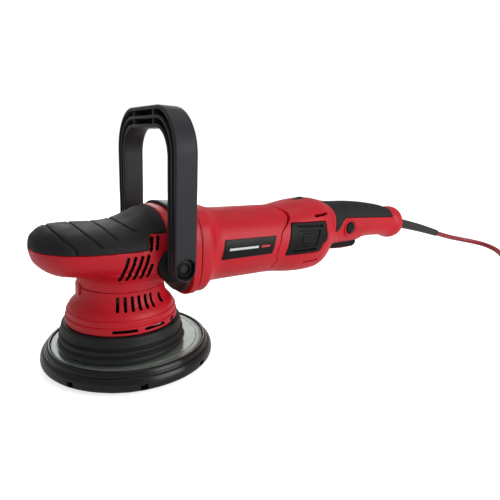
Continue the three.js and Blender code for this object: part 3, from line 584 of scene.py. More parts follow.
coil_pts, z_end = coil_path()
TY = COIL[1] - 49.5
tail = [[COIL[0] + 9, TY - 0.1, z_end + 0.4], [COIL[0] + 18, TY, z_end + 2.2], [COIL[0] + 25, TY, 11.1], [COIL[0] + 32, TY, 11.5], [COIL[0] + 37, TY, 11.5]]
lead = catmull(LEAD + [[484.1, -127.9, 28.8]], 8)[:-1]
mid = catmull(coil_pts + tail, 3)
cord_line = np.concatenate([lead, [[484.1, -127.9, 28.75]], mid])
# even spacing along the whole line
seg = np.linalg.norm(np.diff(cord_line, axis=0), axis=1)
run = np.concatenate([[0], np.cumsum(seg)])
count = int(run[-1] / 3.0)
even = np.stack([np.interp(np.linspace(0, run[-1], count), run, cord_line[:, k]) for k in range(3)], -1)
for _ in range(2):
    even[1:-1] = even[1:-1] * 0.5 + (even[:-2] + even[2:]) * 0.25


def tube_curve(name, pts, radius, mat, body):
    cu = bpy.data.curves.new(name, "CURVE")
    cu.dimensions = "3D"
    sp = cu.splines.new("POLY")
    sp.points.add(len(pts) - 1)
    w = row(pts)
    for i, p in enumerate(w):
        sp.points[i].co = (p[0], p[1], p[2], 1)
    cu.bevel_depth = radius * MM
    cu.bevel_resolution = 3
    cu.use_fill_caps = True
    cu.materials.append(mat)
    ob = bpy.data.objects.new(name, cu)
    bpy.context.scene.collection.objects.link(ob)
    return ob


cord = tube_curve("mains_cord", even, 3.5, CORD, "housing")
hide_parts("cord", "cord_coil")
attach(cord, "housing")


def frames(path):
    """Tangent, side and up at each point of a path that doesn't stand on end."""
    p = np.array(path, float)
    t = np.gradient(p, axis=0)
    t /= np.linalg.norm(t, axis=1, keepdims=True)
    s = np.cross(t, [0, 0, 1.0])
    s /= np.linalg.norm(s, axis=1, keepdims=True)
    return p, t, s, np.cross(s, t)


def ribbed(path, radii, n=40):
    p, t, s, u = frames(path)
    th = np.arange(n) / n * 2 * math.pi
    r = np.array(radii)
    if r.ndim == 1:
        r = r[:, None] + 0 * th[None, :]
    return p[:, None] + r[..., None] * (np.cos(th)[None, :, None] * s[:, None] + np.sin(th)[None, :, None] * u[:, None])


# strain relief: collar, long taper with fine ribs towards the cord
relief_line = catmull([[358, 0, 104.8], [368, 0, 103.8], [382, 0, 101.4], [400, 0, 97.8], [425, 0, 92.4], [450, 0, 86.4], [469, 0, 81.6]], 40)
rl = np.concatenate([[0], np.cumsum(np.linalg.norm(np.diff(relief_line, axis=0), axis=1))])
rr = np.interp(rl, [0, 8, 11, 15, 18, 40, 80, rl[-1]], [6.1, 6.1, 6.9, 6.9, 6.2, 5.9, 5.3, 4.6])
ribs = (rl > 30) & (rl < rl[-1] - 5)
rr = rr - ribs * 0.32 * (0.5 - 0.5 * np.cos((rl - 30) / 5.2 * 2 * math.pi)) ** 3
rr[-3:] = [4.4, 4.1, 3.7]
b = Build()
b.tube(ribbed(relief_line, rr))
b.make("strain_relief_sleeve", RELIEF, "housing", ["strain_relief"])

# plug: lies beside the coil
PX, PY, PZ = COIL[0] + 29.5, COIL[1] - 49.5, FACE + 8.0
PLUG = [
    [0, 3.9, 3.9, 2], [0.6, 4.3, 4.3, 2], [4, 4.6, 4.5, 2], [14, 5.4, 5.2, 2], [18, 8, 7.2, 2.4], [24, 10.6, 7.5, 2.6], [32, 12.4, 7.6, 2.8], [40, 15, 7.7, 3], [46, 17.2, 7.7, 3.2], [49, 17.4, 7.7, 3.2], [50, 16.6, 7.2, 3],
]
xs = spaced((0, 16, 0.8), (16, 50, 1.0))
pw = [pchip([s[0] for s in PLUG], [s[k] for s in PLUG], xs) for k in (1, 2, 3)]
th = np.arange(64) / 64 * 2 * math.pi
c, q = np.cos(th)[None, :], np.sin(th)[None, :]
e = pw[2][:, None]
ribw = np.where((xs > 3) & (xs < 15), -0.35 * (0.5 - 0.5 * np.cos((xs - 3) / 3 * 2 * math.pi)) ** 2, 0) + np.where((xs > 22) & (xs < 38), -0.3 * (0.5 - 0.5 * np.cos((xs - 22) / 2.667 * 2 * math.pi)) ** 2, 0)
yy = (pw[0] + ribw)[:, None] * np.sign(c) * np.abs(c) ** (2 / e)
zz = pw[1][:, None] * np.sign(q) * np.abs(q) ** (2 / e)
b = Build()
b.tube(np.stack([PX + xs[:, None] + 0 * yy, PY + yy, PZ + zz], -1))
for sgn in (-1, 1):
    prof = [[0, 49.5], [2.4, 49.5], [2.4, 66.6], [2.1, 68], [1.4, 68.8], [0, 69]]
    b.lathe([[r, PX + h] for r, h in prof], 24, (PY + 9.5 * sgn, PZ), "X", 1)
plug = b.make("cord_plug", [PLUGM, STEEL], "housing", ["plug"])
tuple(row(even[0]).tolist())

# ---- sections -------------------------------------------------------------------------------------------
HEAD = [
    [-70.9, 1.5, 113, 110, 111.5, 2], [-70.2, 7, 117, 107, 111.5, 2], [-68.6, 15, 121, 101.5, 111.5, 2], [-65, 23.5, 124, 97, 111.5, 2.1],
    [-60, 30.5, 126.8, 93, 111.5, 2.2], [-53, 36.8, 128.2, 90, 111.5, 2.3], [-44, 41.5, 128.4, 88.4, 111.5, 2.3], [-34, 44.5, 128, 87, 111.5, 2.4],
    [-22, 46.2, 127.5, 84, 111, 2.4], [-10, 46.6, 128, 82, 110.5, 2.4], [0, 46.6, 130.2, 80.5, 110, 2.4], [10, 46, 134.6, 79.5, 109, 2.4],
    [20, 44.8, 139.4, 78.5, 108, 2.4], [27, 43.8, 141.2, 76.8, 107, 2.5], [38, 42, 141.4, 73, 106, 2.6], [49.6, 40.6, 140.6, 69.6, 104, 2.7],
    [50.4, 40.4, 140.5, 60.0, 101.2, 2.75], [51.2, 40.3, 140.4, 59.2, 100.8, 2.8], [56.7, 40, 140, 59.2, 100.5, 2.8],
]
MOTOR = [
    [57, 39.8, 139.6, 61, 100.5, 2.7], [58.5, 40.2, 140, 60.4, 100.5, 2.7], [65, 40.2, 140, 60.4, 100.5, 2.7], [70, 38.4, 139.8, 63.2, 101, 2.5],
    [74, 36, 139, 65.6, 101, 2.3], [82, 35, 136.6, 66, 101, 2.05], [90, 35, 136, 66, 101, 2], [170, 35, 136, 66, 101, 2],
]
REAR = [
    [138, 35, 136, 66, 101, 2], [150, 35.2, 136, 65.8, 101, 2], [162, 36.4, 136.8, 65, 101, 2.15], [174, 37.8, 138.6, 64, 101, 2.3],
    [188, 38.6, 140.6, 63.8, 101, 2.4], [202, 38.3, 141.8, 64.4, 101.4, 2.4], [211, 36.4, 141.4, 66.6, 102, 2.35], [219, 32.4, 140, 70.6, 103.4, 2.3],
    [226, 27.4, 138.4, 76, 105.4, 2.3], [233, 23.6, 137.2, 81.6, 107.8, 2.3], [240, 21.4, 136.6, 86.4, 110, 2.4], [250, 20.4, 136.4, 87.2, 111, 2.45],
    [264, 20, 136.2, 87.4, 111.5, 2.45], [285, 19.6, 135, 88.4, 111.5, 2.45], [292, 19.4, 134.4, 91, 112, 2.45], [307, 19, 132.6, 91.8, 112, 2.4],
    [325, 18.4, 129.8, 91.2, 110.4, 2.3], [339, 18, 126.6, 89.4, 108, 2.2], [343.5, 18.2, 125.8, 88, 106.8, 2.1], [347, 19.6, 126.2, 86.4, 106.2, 2],
    [352, 20, 126.2, 85.8, 106, 2], [358, 19, 125, 86.6, 105.6, 2], [363, 15.8, 121.4, 89.8, 105.2, 2], [366, 11.4, 116.6, 93.8, 105, 2],
    [367.2, 8.2, 113.2, 96.8, 105, 2],
]


def loft(stations, xs, th):
    """Points of the rounded sections at xs and angles th (one row of angles, or one row for each x)."""
    st = np.array(stations, float)
    w, zt, zb, zm, e = (pchip(st[:, 0], st[:, k], xs)[:, None] for k in range(1, 6))
    th = np.array(th, float)
    if th.ndim == 1:
        th = th[None, :] + 0 * w
    c, q = np.cos(th), np.sin(th)
    y = w * np.sign(c) * np.abs(c) ** (2 / e)
    z = zm + np.where(q > 0, zt - zm, zm - zb) * np.sign(q) * np.abs(q) ** (2 / e)
    return np.stack([xs[:, None] + 0 * y, y, z], -1)


def normals(p, wrap_v):
    du = np.gradient(p, axis=0)
    dv = (np.roll(p, -1, 1) - np.roll(p, 1, 1)) / 2 if wrap_v else np.gradient(p, axis=1)
    n = np.cross(du, dv)
    l = np.linalg.norm(n, axis=-1, keepdims=True)
    mid = p.mean(1, keepdims=True)
    out = p - mid
    if (n * out).sum() < 0:
        n = -n
    n = n / np.maximum(l, 1e-9)
    rad = out / np.maximum(np.linalg.norm(out, axis=-1, keepdims=True), 1e-9)
    return np.where(l < 1e-6, rad, n)


def even_angles(stations, x, n, a0, a1):
    """Angles that give even steps along the section's outline at x."""
    t = np.linspace(a0, a1, 4000)
    p = loft(stations, np.array([x, x + 0.01]), t)[0]
    s = np.concatenate([[0], np.cumsum(np.linalg.norm(np.diff(p, axis=0), axis=1))])
    return np.interp(np.linspace(0, s[-1], n), s, t)


def face_any(mask, wrap_v=False):
    """True for each face that has any corner in mask."""
    a = mask[:-1] | mask[1:]
    if wrap_v:
        return a | np.roll(a, -1, 1)
    return a[:, :-1] | a[:, 1:]


# ---- head ---------------------------------------------------------------------------------------------------
COVER_LINE = [[-90, 112], [6.8, 112], [9.8, 124.2], [24.3, 124.2], [24.3, 170], [-90, 170]]
COVER_IN = [[-90, 112.3], [6.5, 112.3], [9.5, 124.5], [24, 124.5], [24, 170], [-90, 170]]
HEAD_VENTS = [
    [-13.6, 88.5, -9.4, 107.2], [-8.3, 88.8, -3.9, 107.4], [-3, 89, 1.6, 107.6], [2.4, 89.2, 6.8, 107.8], [7.8, 89.6, 10, 100],
    [8.8, 112.5, 10.6, 121.3], [14, 112.8, 15.8, 121.3],
]
xs = np.concatenate([-70.9 + 10.9 * (np.arange(26) / 26) ** 1.8, spaced((-60, -17, 1.0), (-17, 26, 0.5), (26, 49, 1.0), (49, 51.6, 0.2), (51.6, 56.7, 1.0))])
NTH = 360
th = even_angles(HEAD, 0, NTH + 1, 0, 2 * math.pi)[:-1]
base = loft(HEAD, xs, th)
# the neck under the head is blended in with a soft fillet
zm = pchip([s[0] for s in HEAD], [s[4] for s in HEAD], xs)[:, None]
ctr = np.stack([xs[:, None] + 0 * zm, 0 * zm, zm], -1)
ray = base - ctr
R0 = np.linalg.norm(ray, axis=-1)
unit = ray / R0[..., None]
low = unit[..., 2] < 0.05
ts = np.linspace(-1, 34, 120)
best = R0.copy()
P_lo, U_lo, R_lo = (ctr + 0 * ray)[low], unit[low], R0[low]
t_abs = R_lo[:, None] + ts[None, :]
pt = P_lo[:, None] + U_lo[:, None] * t_abs[..., None]
rad = np.hypot(pt[..., 0], pt[..., 1])
neck_r = np.interp(pt[..., 2], [70, 76.8, 80, 84, 88, 93, 97, 101], [36, 36, 36.1, 36.6, 38.4, 42, 36, 20])
fn = rad - neck_r
fl = t_abs - R_lo[:, None]
k_ = 4.0
h_ = np.clip(0.5 + 0.5 * (fn - fl) / k_, 0, 1)
fs = fn * (1 - h_) + fl * h_ - k_ * h_ * (1 - h_)
fs = np.maximum(fs, 76.8 - pt[..., 2])
inside = fs < 0
last = inside.shape[1] - 1 - np.argmax(inside[:, ::-1], axis=1)
any_in = inside.any(1) & (last < len(ts) - 1)
last = np.clip(last, 0, len(ts) - 2)
rows_i = np.arange(len(last))
f0, f1 = fs[rows_i, last], fs[rows_i, last + 1]
tt = ts[last] + (ts[last + 1] - ts[last]) * f0 / np.where(f0 - f1 == 0, 1, f0 - f1)
best[low] = np.where(any_in, R_lo + np.maximum(tt, 0), R_lo)
shell_base = ctr + unit * best[..., None]
nrm = normals(shell_base, True)
X, Y, Z = shell_base[..., 0], shell_base[..., 1], shell_base[..., 2]
depth = edge(sd_poly(X, Z, COVER_LINE), 0.5, 2.9, 0.4)
hole = np.zeros(X.shape, bool)
vent = np.zeros(X.shape)
for v in HEAD_VENTS:
    sd = sd_capsule(X, Z, *v, 1.12)
    vent = np.maximum(vent, np.where(np.abs(Y) > 15, edge(sd, 0.35, 3.0, 0.35), 0))
    hole |= (sd < -0.45) & (np.abs(Y) > 15)
depth = np.maximum(depth, vent)
# fine step where the neck meets the bell and a parting line along the side
depth = np.maximum(depth, groove(np.abs(Z - 84.2), 0.5, 0.25) * (np.hypot(X, Y) < 44))
hole |= (np.hypot(X, Y) < 34.2) & (Z < 100) & (nrm[..., 2] < 0)
outer = shell_base - nrm * depth[..., None]
inner = shell_base - nrm * 3.05
b = Build()
# faces down the vents, the inner side and the edge walls get the near-black painted-shade material
b.skin(outer, inner, ~face_any(hole, True), True, painted_shade_pit=face_any(vent > 1.0, True))
# closing wall inside the nose
b.tube(np.stack([outer[0], (outer[0] + outer[0].mean(0)) / 2]), cap0=False)
# small tab on the neck
b.prism(rounded([[-37.4, 70.0], [-34.6, 70.0], [-34.6, 81.5], [-35.8, 81.5], [-37.1, 79.0]], 0.6), -5.5, 5.5, "Y", 0.5)
b.make("head_shell_moulding", [RED, SLOT_PAINTED_SHADE], "housing", ["head_shell"])

# grip cover over the head
th_c = even_angles(HEAD, -10, 231, -0.06, math.pi + 0.06)
xs_c = np.concatenate([-70.9 + 10.9 * (np.arange(30) / 30) ** 1.8, spaced((-60, 3, 0.8), (3, 27, 0.45))])
base = loft(HEAD, xs_c, th_c)
nrm = normals(base, False)
X, Y, Z = base[..., 0], base[..., 1], base[..., 2]
sd = -sd_poly(X, Z, COVER_IN)
depth = edge(sd, 0.7, 2.3, 0.5)
GROOVES = [
    [[-56.2, -11.8], [-54.0, -23.7], [-51.2, -31.4], [-47.6, -37.4], [-45.4, -40.6]],
    [[-37.9, -11.8], [-36.5, -24.5], [-34.3, -33.0], [-31.0, -39.4], [-27.8, -43.6]],
    [[-19.5, -10.3], [-19.1, -23.3], [-17.7, -32.1], [-15.2, -39.2]],
    [[-4.0, -6.9], [-3.3, -18.7], [-1.8, -27.2], [0.8, -34.6]],
]
for g in GROOVES:
    pts = [[g[0][0], 0.0]] + [[p[0], abs(p[1])] for p in g]
    dist = np.full(X.shape, 1e9)
    for (ax, ay), (bx, by) in zip(pts[:-1], pts[1:]):
        ex, ey = bx - ax, by - ay
        # across the grip, measured along X only in part, so that the groove keeps its width on the flank
        t = np.clip(((X - ax) * ex + (np.abs(Y) - ay) * ey) / (ex * ex + ey * ey), 0, 1)
        dist = np.minimum(dist, np.hypot(X - ax - t * ex, np.abs(Y) - ay - t * ey))
    depth = np.maximum(depth, groove(dist, 1.25, 1.35) * (Z > 111.5))
outer = base - nrm * depth[..., None]
inner = base - nrm * 2.45
b = Build()
b.skin(outer, inner, ~face_any(sd < -0.7))
b.make("head_grip_skin", GRIP, "housing", ["head_grip_cover"])

# strip across the ridge behind the grip
tp = even_angles(HEAD, 39, 90, math.radians(52), math.radians(128))
xs_t = spaced((33, 34, 0.25), (34, 45, 1.0), (45, 46, 0.25))
base = loft(HEAD, xs_t, tp)
nrm = normals(base, False)
X, Y = base[..., 0], base[..., 1]
sd = np.minimum(np.minimum(X - 33, 46 - X), 27 - np.abs(Y))
up = 2.6 - edge(sd, 0.8, 2.3, 0.3)
b = Build()
b.skin(base + nrm * up[..., None], base + nrm * 0.3, ~face_any(sd < -0.4))
f_ = b.f
cz = np.concatenate(b.v)
for i, q in enumerate(f_):
    zc = cz[list(q)].mean(0)
    if zc[0] > 36.6 and zc[0] < 43.2 and abs(zc[1]) < 25 and zc[2] > 142:
        b.m[i] = 1
b.make("top_pad_strip", [BLACK, TOPPAD], "housing", ["top_pad"])

# ---- D handle: one moulding swept round the arch -------------------------------------------------------------
HX, HZ = 30.5, 98.0
W_OUT, W_IN, TOP_OUT, TOP_IN = 63.5, 48.5, 222.0, 205.0
R_OUTER, R_INNER = 37.0, 23.0
leg = np.concatenate([HZ - 9.7 * np.cos(np.linspace(0.02, math.pi / 2, 16)), spaced((98.6, 110, 0.6)), spaced((111, 114, 0.4)), spaced((115.5, 181, 3.0))])
path_o, path_i, s_leg = [], [], []
for z in leg:
    path_i.append((-W_IN, z)); path_o.append((-W_OUT, z)); s_leg.append(z)
for k in range(1, 41):
    a = math.pi - math.pi / 2 * k / 40
    path_o.append((-W_OUT + R_OUTER + R_OUTER * math.cos(a), TOP_OUT - R_OUTER + R_OUTER * math.sin(a)))
    path_i.append((-W_IN + R_INNER + R_INNER * math.cos(a), TOP_IN - R_INNER + R_INNER * math.sin(a)))
    s_leg.append(200)
for k in range(1, 12):
    t = k / 12
    path_o.append((-W_OUT + R_OUTER + 2 * (W_OUT - R_OUTER) * t, TOP_OUT))
    path_i.append((-W_IN + R_INNER + 2 * (W_IN - R_INNER) * t, TOP_IN))
    s_leg.append(200)
half_n = len(leg) + 40
for k in range(half_n - 1, -1, -1):
    path_o.append((-path_o[k][0], path_o[k][1])); path_i.append((-path_i[k][0], path_i[k][1])); s_leg.append(s_leg[k])
path_o, path_i, s_leg = np.array(path_o), np.array(path_i), np.array(s_leg)
D, T = 19.5, 15.0  # depth front to back, thickness inner to outer
sec = []  # (b front to back, a inner to outer, groove share)


def arc_pts(cb, ca, r, d0, d1, n):
    return [(cb + r * math.cos(math.radians(d0 + (d1 - d0) * i / n)), ca + r * math.sin(math.radians(d0 + (d1 - d0) * i / n)), 0.0) for i in range(n + 1)]


sec += arc_pts(1.0, 1.0, 1.0, -90, -180, 4)  # inner front corner
def chan(a0, a1):
    r = 0.35
    deep = 11.5
    return [(0.0, a0 - r, 0.0), (0.12, a0 - 0.1, 0.0), (0.4, a0, 0.0), (deep, a0 + 0.15, 1.0), (deep, a1 - 0.15, 1.0), (0.4, a1, 0.0), (0.12, a1 + 0.1, 0.0), (0.0, a1 + r, 0.0)]
sec += chan(2.4, 6.3)
sec += chan(8.3, 12.3)
sec += arc_pts(1.2, T - 1.2, 1.2, 180, 90, 4)  # outer front corner
sec += [(1.9 + 0.6 * i, T, 0.0) for i in range(1, 23)]
sec += arc_pts(D - 3.8, T - 3.8, 3.8, 90, 0, 8)  # outer rear edge, well rounded
sec += arc_pts(D - 3.5, 3.5, 3.5, 0, -90, 7)
sec += [(D - 3.5 - 2.0 * i, 0.0, 0.0) for i in range(1, 7)]
sec = np.array(sec)
nb, na = sec[:, 0][None, :], sec[:, 1][None, :]
open_ = smooth01((s_leg - 111.5) / 2.5)[:, None]
bb = np.where(sec[:, 2][None, :] > 0.5, nb * open_ + 0.5 * (1 - open_), nb + 0 * open_)
shrink = np.where(s_leg < HZ, np.sqrt(np.clip(1 - ((HZ - s_leg) / (D / 2)) ** 2, 0.0, 1)), 1)[:, None]
bb = D / 2 + (bb - D / 2) * shrink
aa = na / T + 0 * bb
P = path_i[:, None] + (path_o - path_i)[:, None] * aa[..., None]
Xh = HX - D / 2 + bb
Yh, Zh = P[..., 0], P[..., 1]
# the bolt sits in a round recess in each foot
rb = np.hypot(Xh - HX, Zh - HZ)
on_face = (aa > 0.985) & (s_leg[:, None] < 112)
dip = np.where(on_face, edge(rb - 8.4, 0.7, 4.7, 0.5), 0)
Yh = np.sign(Yh) * (np.abs(Yh) - dip)
pts = np.stack([Xh, Yh, Zh], -1)
b = Build()
b.tube(pts)
for yc in (-21, 21):
    for a0, a1 in ((2.2, 6.5), (8.1, 12.5)):
        z0, z1 = TOP_IN + (TOP_OUT - TOP_IN) * a0 / T, TOP_IN + (TOP_OUT - TOP_IN) * a1 / T
        b.prism([[HX - D / 2 + 0.35, z0], [HX - D / 2 + 11.8, z0], [HX - D / 2 + 11.8, z1], [HX - D / 2 + 0.35, z1]], yc - 0.9, yc + 0.9, "Y", 0.2, 2)
dh = b.make("d_handle_moulding", HANDLE, "d_handle", ["d_handle"], 50)

for side, s in (("left", -1), ("right", 1)):
    prof = [[0, 57.6], [3.5, 57.6], [3.6, 59.5], [3.7, 60.4], [4.1, 60.8], [6.7, 60.8], [7.5, 60.4], [7.9, 59.6], [7.9, 58.8], [4.0, 58.8], [4.0, 45.4], [0, 45.4]]
    n = 96
    b = Build()

    def hexed(r, h, th, s=s):
        hx = 3.5 / np.cos((th + math.pi / 6) % (math.pi / 3) - math.pi / 6)
        return np.where((r > 0) & (r < 3.9) & (h * s > 57.5), hx - r + (r - 3.5), 0)

    b.lathe([[r, s * h] for r, h in prof], n, (HX, HZ), "Y", 0, hexed, closed=False)
    b.make(f"handle_bolt_head_{side}", SOCKET, "d_handle", [f"handle_bolt_{side}"], 30)
    # boss between the handle's foot and the head
    prof = [[5, 47.6], [12.4, 47.6], [14.0, 47.2], [15.1, 46.2], [15.7, 44.8], [15.9, 43.0], [15.9, 38.5], [5, 38.5]]
    b = Build()
    b.lathe([[r, s * h] for r, h in prof], 96, (HX, HZ), "Y")
    b.make(f"handle_boss_cap_{side}", BLACK, "housing", [f"handle_boss_{side}"])

# ---- bell, skirt, pad -------------------------------------------------------------------------------------------
BELL = [
    [46.4, 45.0], [46.8, 45.4], [46.85, 50.2], [46.5, 50.9], [45.7, 51.3], [45.75, 55.2], [45.5, 56.0], [44.6, 56.5], [44.2, 57.6], [43.4, 59.5],
    [42.0, 61.3], [40.2, 63.2], [38.6, 65.2], [37.5, 67.2], [36.8, 69.4], [36.3, 71.6], [36.1, 73.6], [36.1, 76.3], [35.8, 76.6],
]
bp = densify(BELL, 0.55, False)
nth = 720
tha = np.arange(nth) / nth * 2 * math.pi
base = np.stack([bp[:, 0][:, None] * np.cos(tha), bp[:, 0][:, None] * np.sin(tha), bp[:, 1][:, None] + 0 * tha], -1)
nrm = normals(base, True)
deg = np.degrees(tha)[None, :] + 0 * bp[:, :1]
deg = (deg + 180) % 360 - 180
zz = base[..., 2]
rad = bp[:, 0][:, None] + 0 * deg
depth = np.zeros(zz.shape)
hole = np.zeros(zz.shape, bool)
for sgn in (-1, 1):
    for i in range(6):
        a = sgn * (113.4 - i * 8.7)
        u = np.radians(deg - a) * rad
        sd = sd_capsule(u, zz, 0, 63.6, 0, 72.4, 1.2)
        depth = np.maximum(depth, edge(sd, 0.3, 3.2, 0.3))
        hole |= sd < -0.45
for a0, a1 in ((-117.9, -94), (-86.3, -62.8), (117.9, 94), (86.3, 62.8)):
    am = (a0 + a1) / 2
    u = np.radians(deg - am) * rad
    hw = abs(math.radians(a1 - a0)) * 46.3 / 2 - 1.1
    sd = sd_capsule(u, zz, -hw, 48.3, hw, 48.3, 1.3)
    depth = np.maximum(depth, edge(sd, 0.35, 2.6, 0.3))
    hole |= sd < -0.5
u = np.radians(deg + 53.8) * rad
sd = sd_capsule(u, zz, 0, 65.4, 0, 68.8, 2.2)
depth = np.maximum(depth, edge(sd, 0.4, 3.0, 0.4))
hole |= sd < -0.9
sd = sd_poly(np.radians(deg + 47.6) * rad, zz, [[-3.2, 40], [3.2, 40], [3.2, 49.4], [-3.2, 49.4]])
depth = np.maximum(depth, edge(sd, 0.4, 2.2, 0.4))
base_in = base.copy()
scale_in = np.interp(bp[:, 1], [45, 56, 61, 66, 76.2], [43.6, 42.6, 38.4, 33.6, 33.2]) / bp[:, 0]
base_in[..., 0] *= scale_in[:, None]
base_in[..., 1] *= scale_in[:, None]
outer = base - nrm * depth[..., None]
b = Build()
# faces down the slots and recesses, the inner side and the edge walls get the near-black painted-shade material
b.skin(outer, base_in, ~face_any(hole, True), True, painted_shade_pit=face_any(depth > 1.0, True))
b.make("bell_shroud_moulding", [RED, SLOT_PAINTED_SHADE], "housing", ["bell_shroud"])

SKIRT = [
    [43.8, 44.5], [47.0, 44.6], [49.2, 44.1], [50.0, 43.0], [50.6, 40.8], [51.3, 38.2], [51.6, 37.0], [51.2, 36.2], [50.5, 35.5], [50.6, 34.7],
    [51.8, 34.2], [52.6, 33.6], [52.7, 32.2], [52.5, 30.6], [52.2, 29.8], [51.6, 29.3], [51.7, 28.6], [52.8, 28.1], [53.5, 27.3], [53.8, 26.0],
    [53.9, 24.6], [53.4, 24.0], [51.2, 24.0], [50.4, 25.5], [49.6, 29], [48.4, 38], [44.0, 40.3],
]
sk = np.array(SKIRT)
skc = catmull(np.concatenate([sk, sk[:1]]).tolist() if False else [[p[0], p[1], 0] for p in SKIRT], 3)[:, :2]


def skirt_wave(r, h, t):
    # rubber is never quite round: slow lobes, and the skirt drawn in by 0.1 all round
    slow = 0.22 * np.sin(3 * t + 0.6) + 0.14 * np.sin(7 * t + 1.9) + 0.09 * np.sin(13 * t)
    return slow * np.clip((44.5 - h) / 8, 0, 1) * np.clip((r - 46) / 4, 0, 1) - 0.1


b = Build()
b.lathe(skc, 240, (0, 0), "Z", 0, skirt_wave, closed=True)
# cleats that hold the skirt to the bell
for a in (-47.6, 132.4):
    ca, sa = math.cos(math.radians(a)), math.sin(math.radians(a))
    w = rounded([[-2.4, 41.0], [2.4, 41.0], [2.4, 48.6], [-2.4, 48.6]], 0.8)
    box_ = Build()
    box_.prism(w, 45.4, 47.0, "Y", 0.4, 3)
    v_ = np.concatenate(box_.v)
    v_ = np.stack([v_[:, 1] * ca - v_[:, 0] * sa, v_[:, 1] * sa + v_[:, 0] * ca, v_[:, 2]], -1)
    b.put(v_, box_.f)
b.make("skirt_moulding", RUBBER, "housing", ["rubber_skirt"], 45)

PADC = (8.1715, 6.5937)
b = Build()
plate = [
    [4.6, 16.0], [65.6, 16.0], [66.3, 16.6], [66.4, 19.8], [66.0, 20.4], [65.2, 20.6], [61.6, 20.6], [61.2, 20.3], [60.8, 20.25], [60.4, 20.3],
    [60.0, 20.6], [50, 20.6], [49.2, 19.4], [14.5, 19.1], [11.6, 18.8], [4.6, 18.8],
]
b.lathe(plate, 240, PADC, "Z")
b.make("backing_plate_disc", PLATE, "pad", ["backing_plate"], 30)

FOAMP = [
    [9.5, 5.8], [70.8, 5.8], [72.4, 6.0], [73.6, 6.6], [74.5, 7.6], [74.9, 8.8], [75.0, 10.2], [74.9, 11.6], [74.5, 13.2], [73.9, 14.8], [73.1, 16.1],
    [72.3, 16.9], [71.6, 17.2], [71.1, 17.2], [70.8, 17.6], [70.6, 18.6], [70.1, 19.8], [69.4, 20.9], [68.6, 21.5], [67.8, 21.7], [67.1, 21.4], [66.9, 20.6], [66.9, 15.7], [9.5, 15.7],
]
fp = densify(FOAMP, 0.5)
nth = 900
tha = np.arange(nth) / nth * 2 * math.pi
R, H = fp[:, 0][:, None] + 0 * tha, fp[:, 1][:, None] + 0 * tha
deg = np.degrees(tha)[None, :] + 0 * R
cut = np.zeros(R.shape)
for i in range(8):
    a = -11 + 45 * i
    u = np.radians((deg - a + 180) % 360 - 180) * R
    sd = sd_poly(u, H, [[-2.7, 7.8], [2.7, 7.8], [2.7, 12.1], [-2.7, 12.1]])
    cut = np.maximum(cut, edge(sd, 0.4, 3.4, 0.45) * (R > 70))
R = R - cut
q = np.stack([R * np.cos(tha) + PADC[0], R * np.sin(tha) + PADC[1], H], -1)
f = grid_faces(len(fp), nth, True, True).reshape(-1, 4)
b = Build()
b.put(q.reshape(-1, 3), f.tolist())
foam = b.make("foam_pad_body", FOAM, "pad", ["foam_pad"], 45)

# ---- motor housing ---------------------------------------------------------------------------------------------------
SEAM = [[145, 60], [145, 77], [145.6, 86], [143.2, 91], [146.5, 104], [149.3, 113], [157, 120.5], [162.5, 127], [162, 131.5], [156.5, 135], [152, 137.5], [151, 150]]
SEAM_S = catmull([[p[0], p[1], 0] for p in SEAM], 6)[:, :2].tolist()
FRONT = [[30, 40], [145, 40]] + SEAM_S + [[151, 165], [30, 165]]
xs = spaced((57, 76, 0.6), (76, 140, 1.2), (140, 166, 0.5))
th = even_angles(MOTOR, 100, 361, 0, 2 * math.pi)[:-1]
base = loft(MOTOR, xs, th)
nrm = normals(base, True)
X, Y, Z = base[..., 0], base[..., 1], base[..., 2]
sd = -sd_poly(X, Z, FRONT)
depth = edge(sd, 0.6, 2.7, 0.4)
depth = np.maximum(depth, edge(X - 57, 0.6, 0.6, 0.4))
depth = np.maximum(depth, groove(np.abs(X - 66.3), 0.5, 0.3))
outer = base - nrm * depth[..., None]
inner = base.copy()
inr = np.hypot(Y, Z - 101)
f_in = 32.3 / np.maximum(inr, 32.4)
inner[..., 1] = Y * f_in
inner[..., 2] = 101 + (Z - 101) * f_in
b = Build()
b.skin(outer, inner, ~face_any(sd < -0.8, True), True)
b.make("motor_housing_moulding", RED, "housing", ["motor_housing"])

# name plate: a plain slanted plate with bars
QUAD = [(83.5, 111.4), (141, 110.9), (136.4, 93.8), (79.5, 93.4)]


def on_plate(u, v, lift):
    (x0, z0), (x1, z1), (x2, z2), (x3, z3) = QUAD
    x = (1 - v) * ((1 - u) * x0 + u * x1) + v * ((1 - u) * x3 + u * x2)
    z = (1 - v) * ((1 - u) * z0 + u * z1) + v * ((1 - u) * z3 + u * z2)
    y = -np.sqrt(np.maximum((35.0 + lift) ** 2 - (z - 101) ** 2, 1))
    return np.stack([x, y, z], -1)


b = Build()
u, v = np.meshgrid(np.linspace(0, 1, 60), np.linspace(0, 1, 30), indexing="ij")
du = np.minimum(u, 1 - u) * 57
dv = np.minimum(v, 1 - v) * 17.6
lift = 0.9 - np.maximum(edge(du, 0.5, 0.5, 1) + edge(dv, 0.5, 0.5, 1), 0) * 0.5
b.skin(on_plate(u, v, lift), on_plate(u, v, 0.22))
# one long bar with a short red one after it
for mt_i, u0, u1, v0, v1 in ((1, 0.10, 0.66, 0.44, 0.56), (2, 0.72, 0.90, 0.44, 0.56)):
    uu, vv = np.meshgrid(np.linspace(0, 1, 24), np.linspace(v0, v1, 5), indexing="ij")
    U = u0 + (u1 - u0) * uu
    b.skin(on_plate(U, vv, 0.95), on_plate(U, vv, 0.7), mat=mt_i)
b.make("name_plate_panel", [PLATED, INKW, INKR], "housing", ["name_plate"], 50)

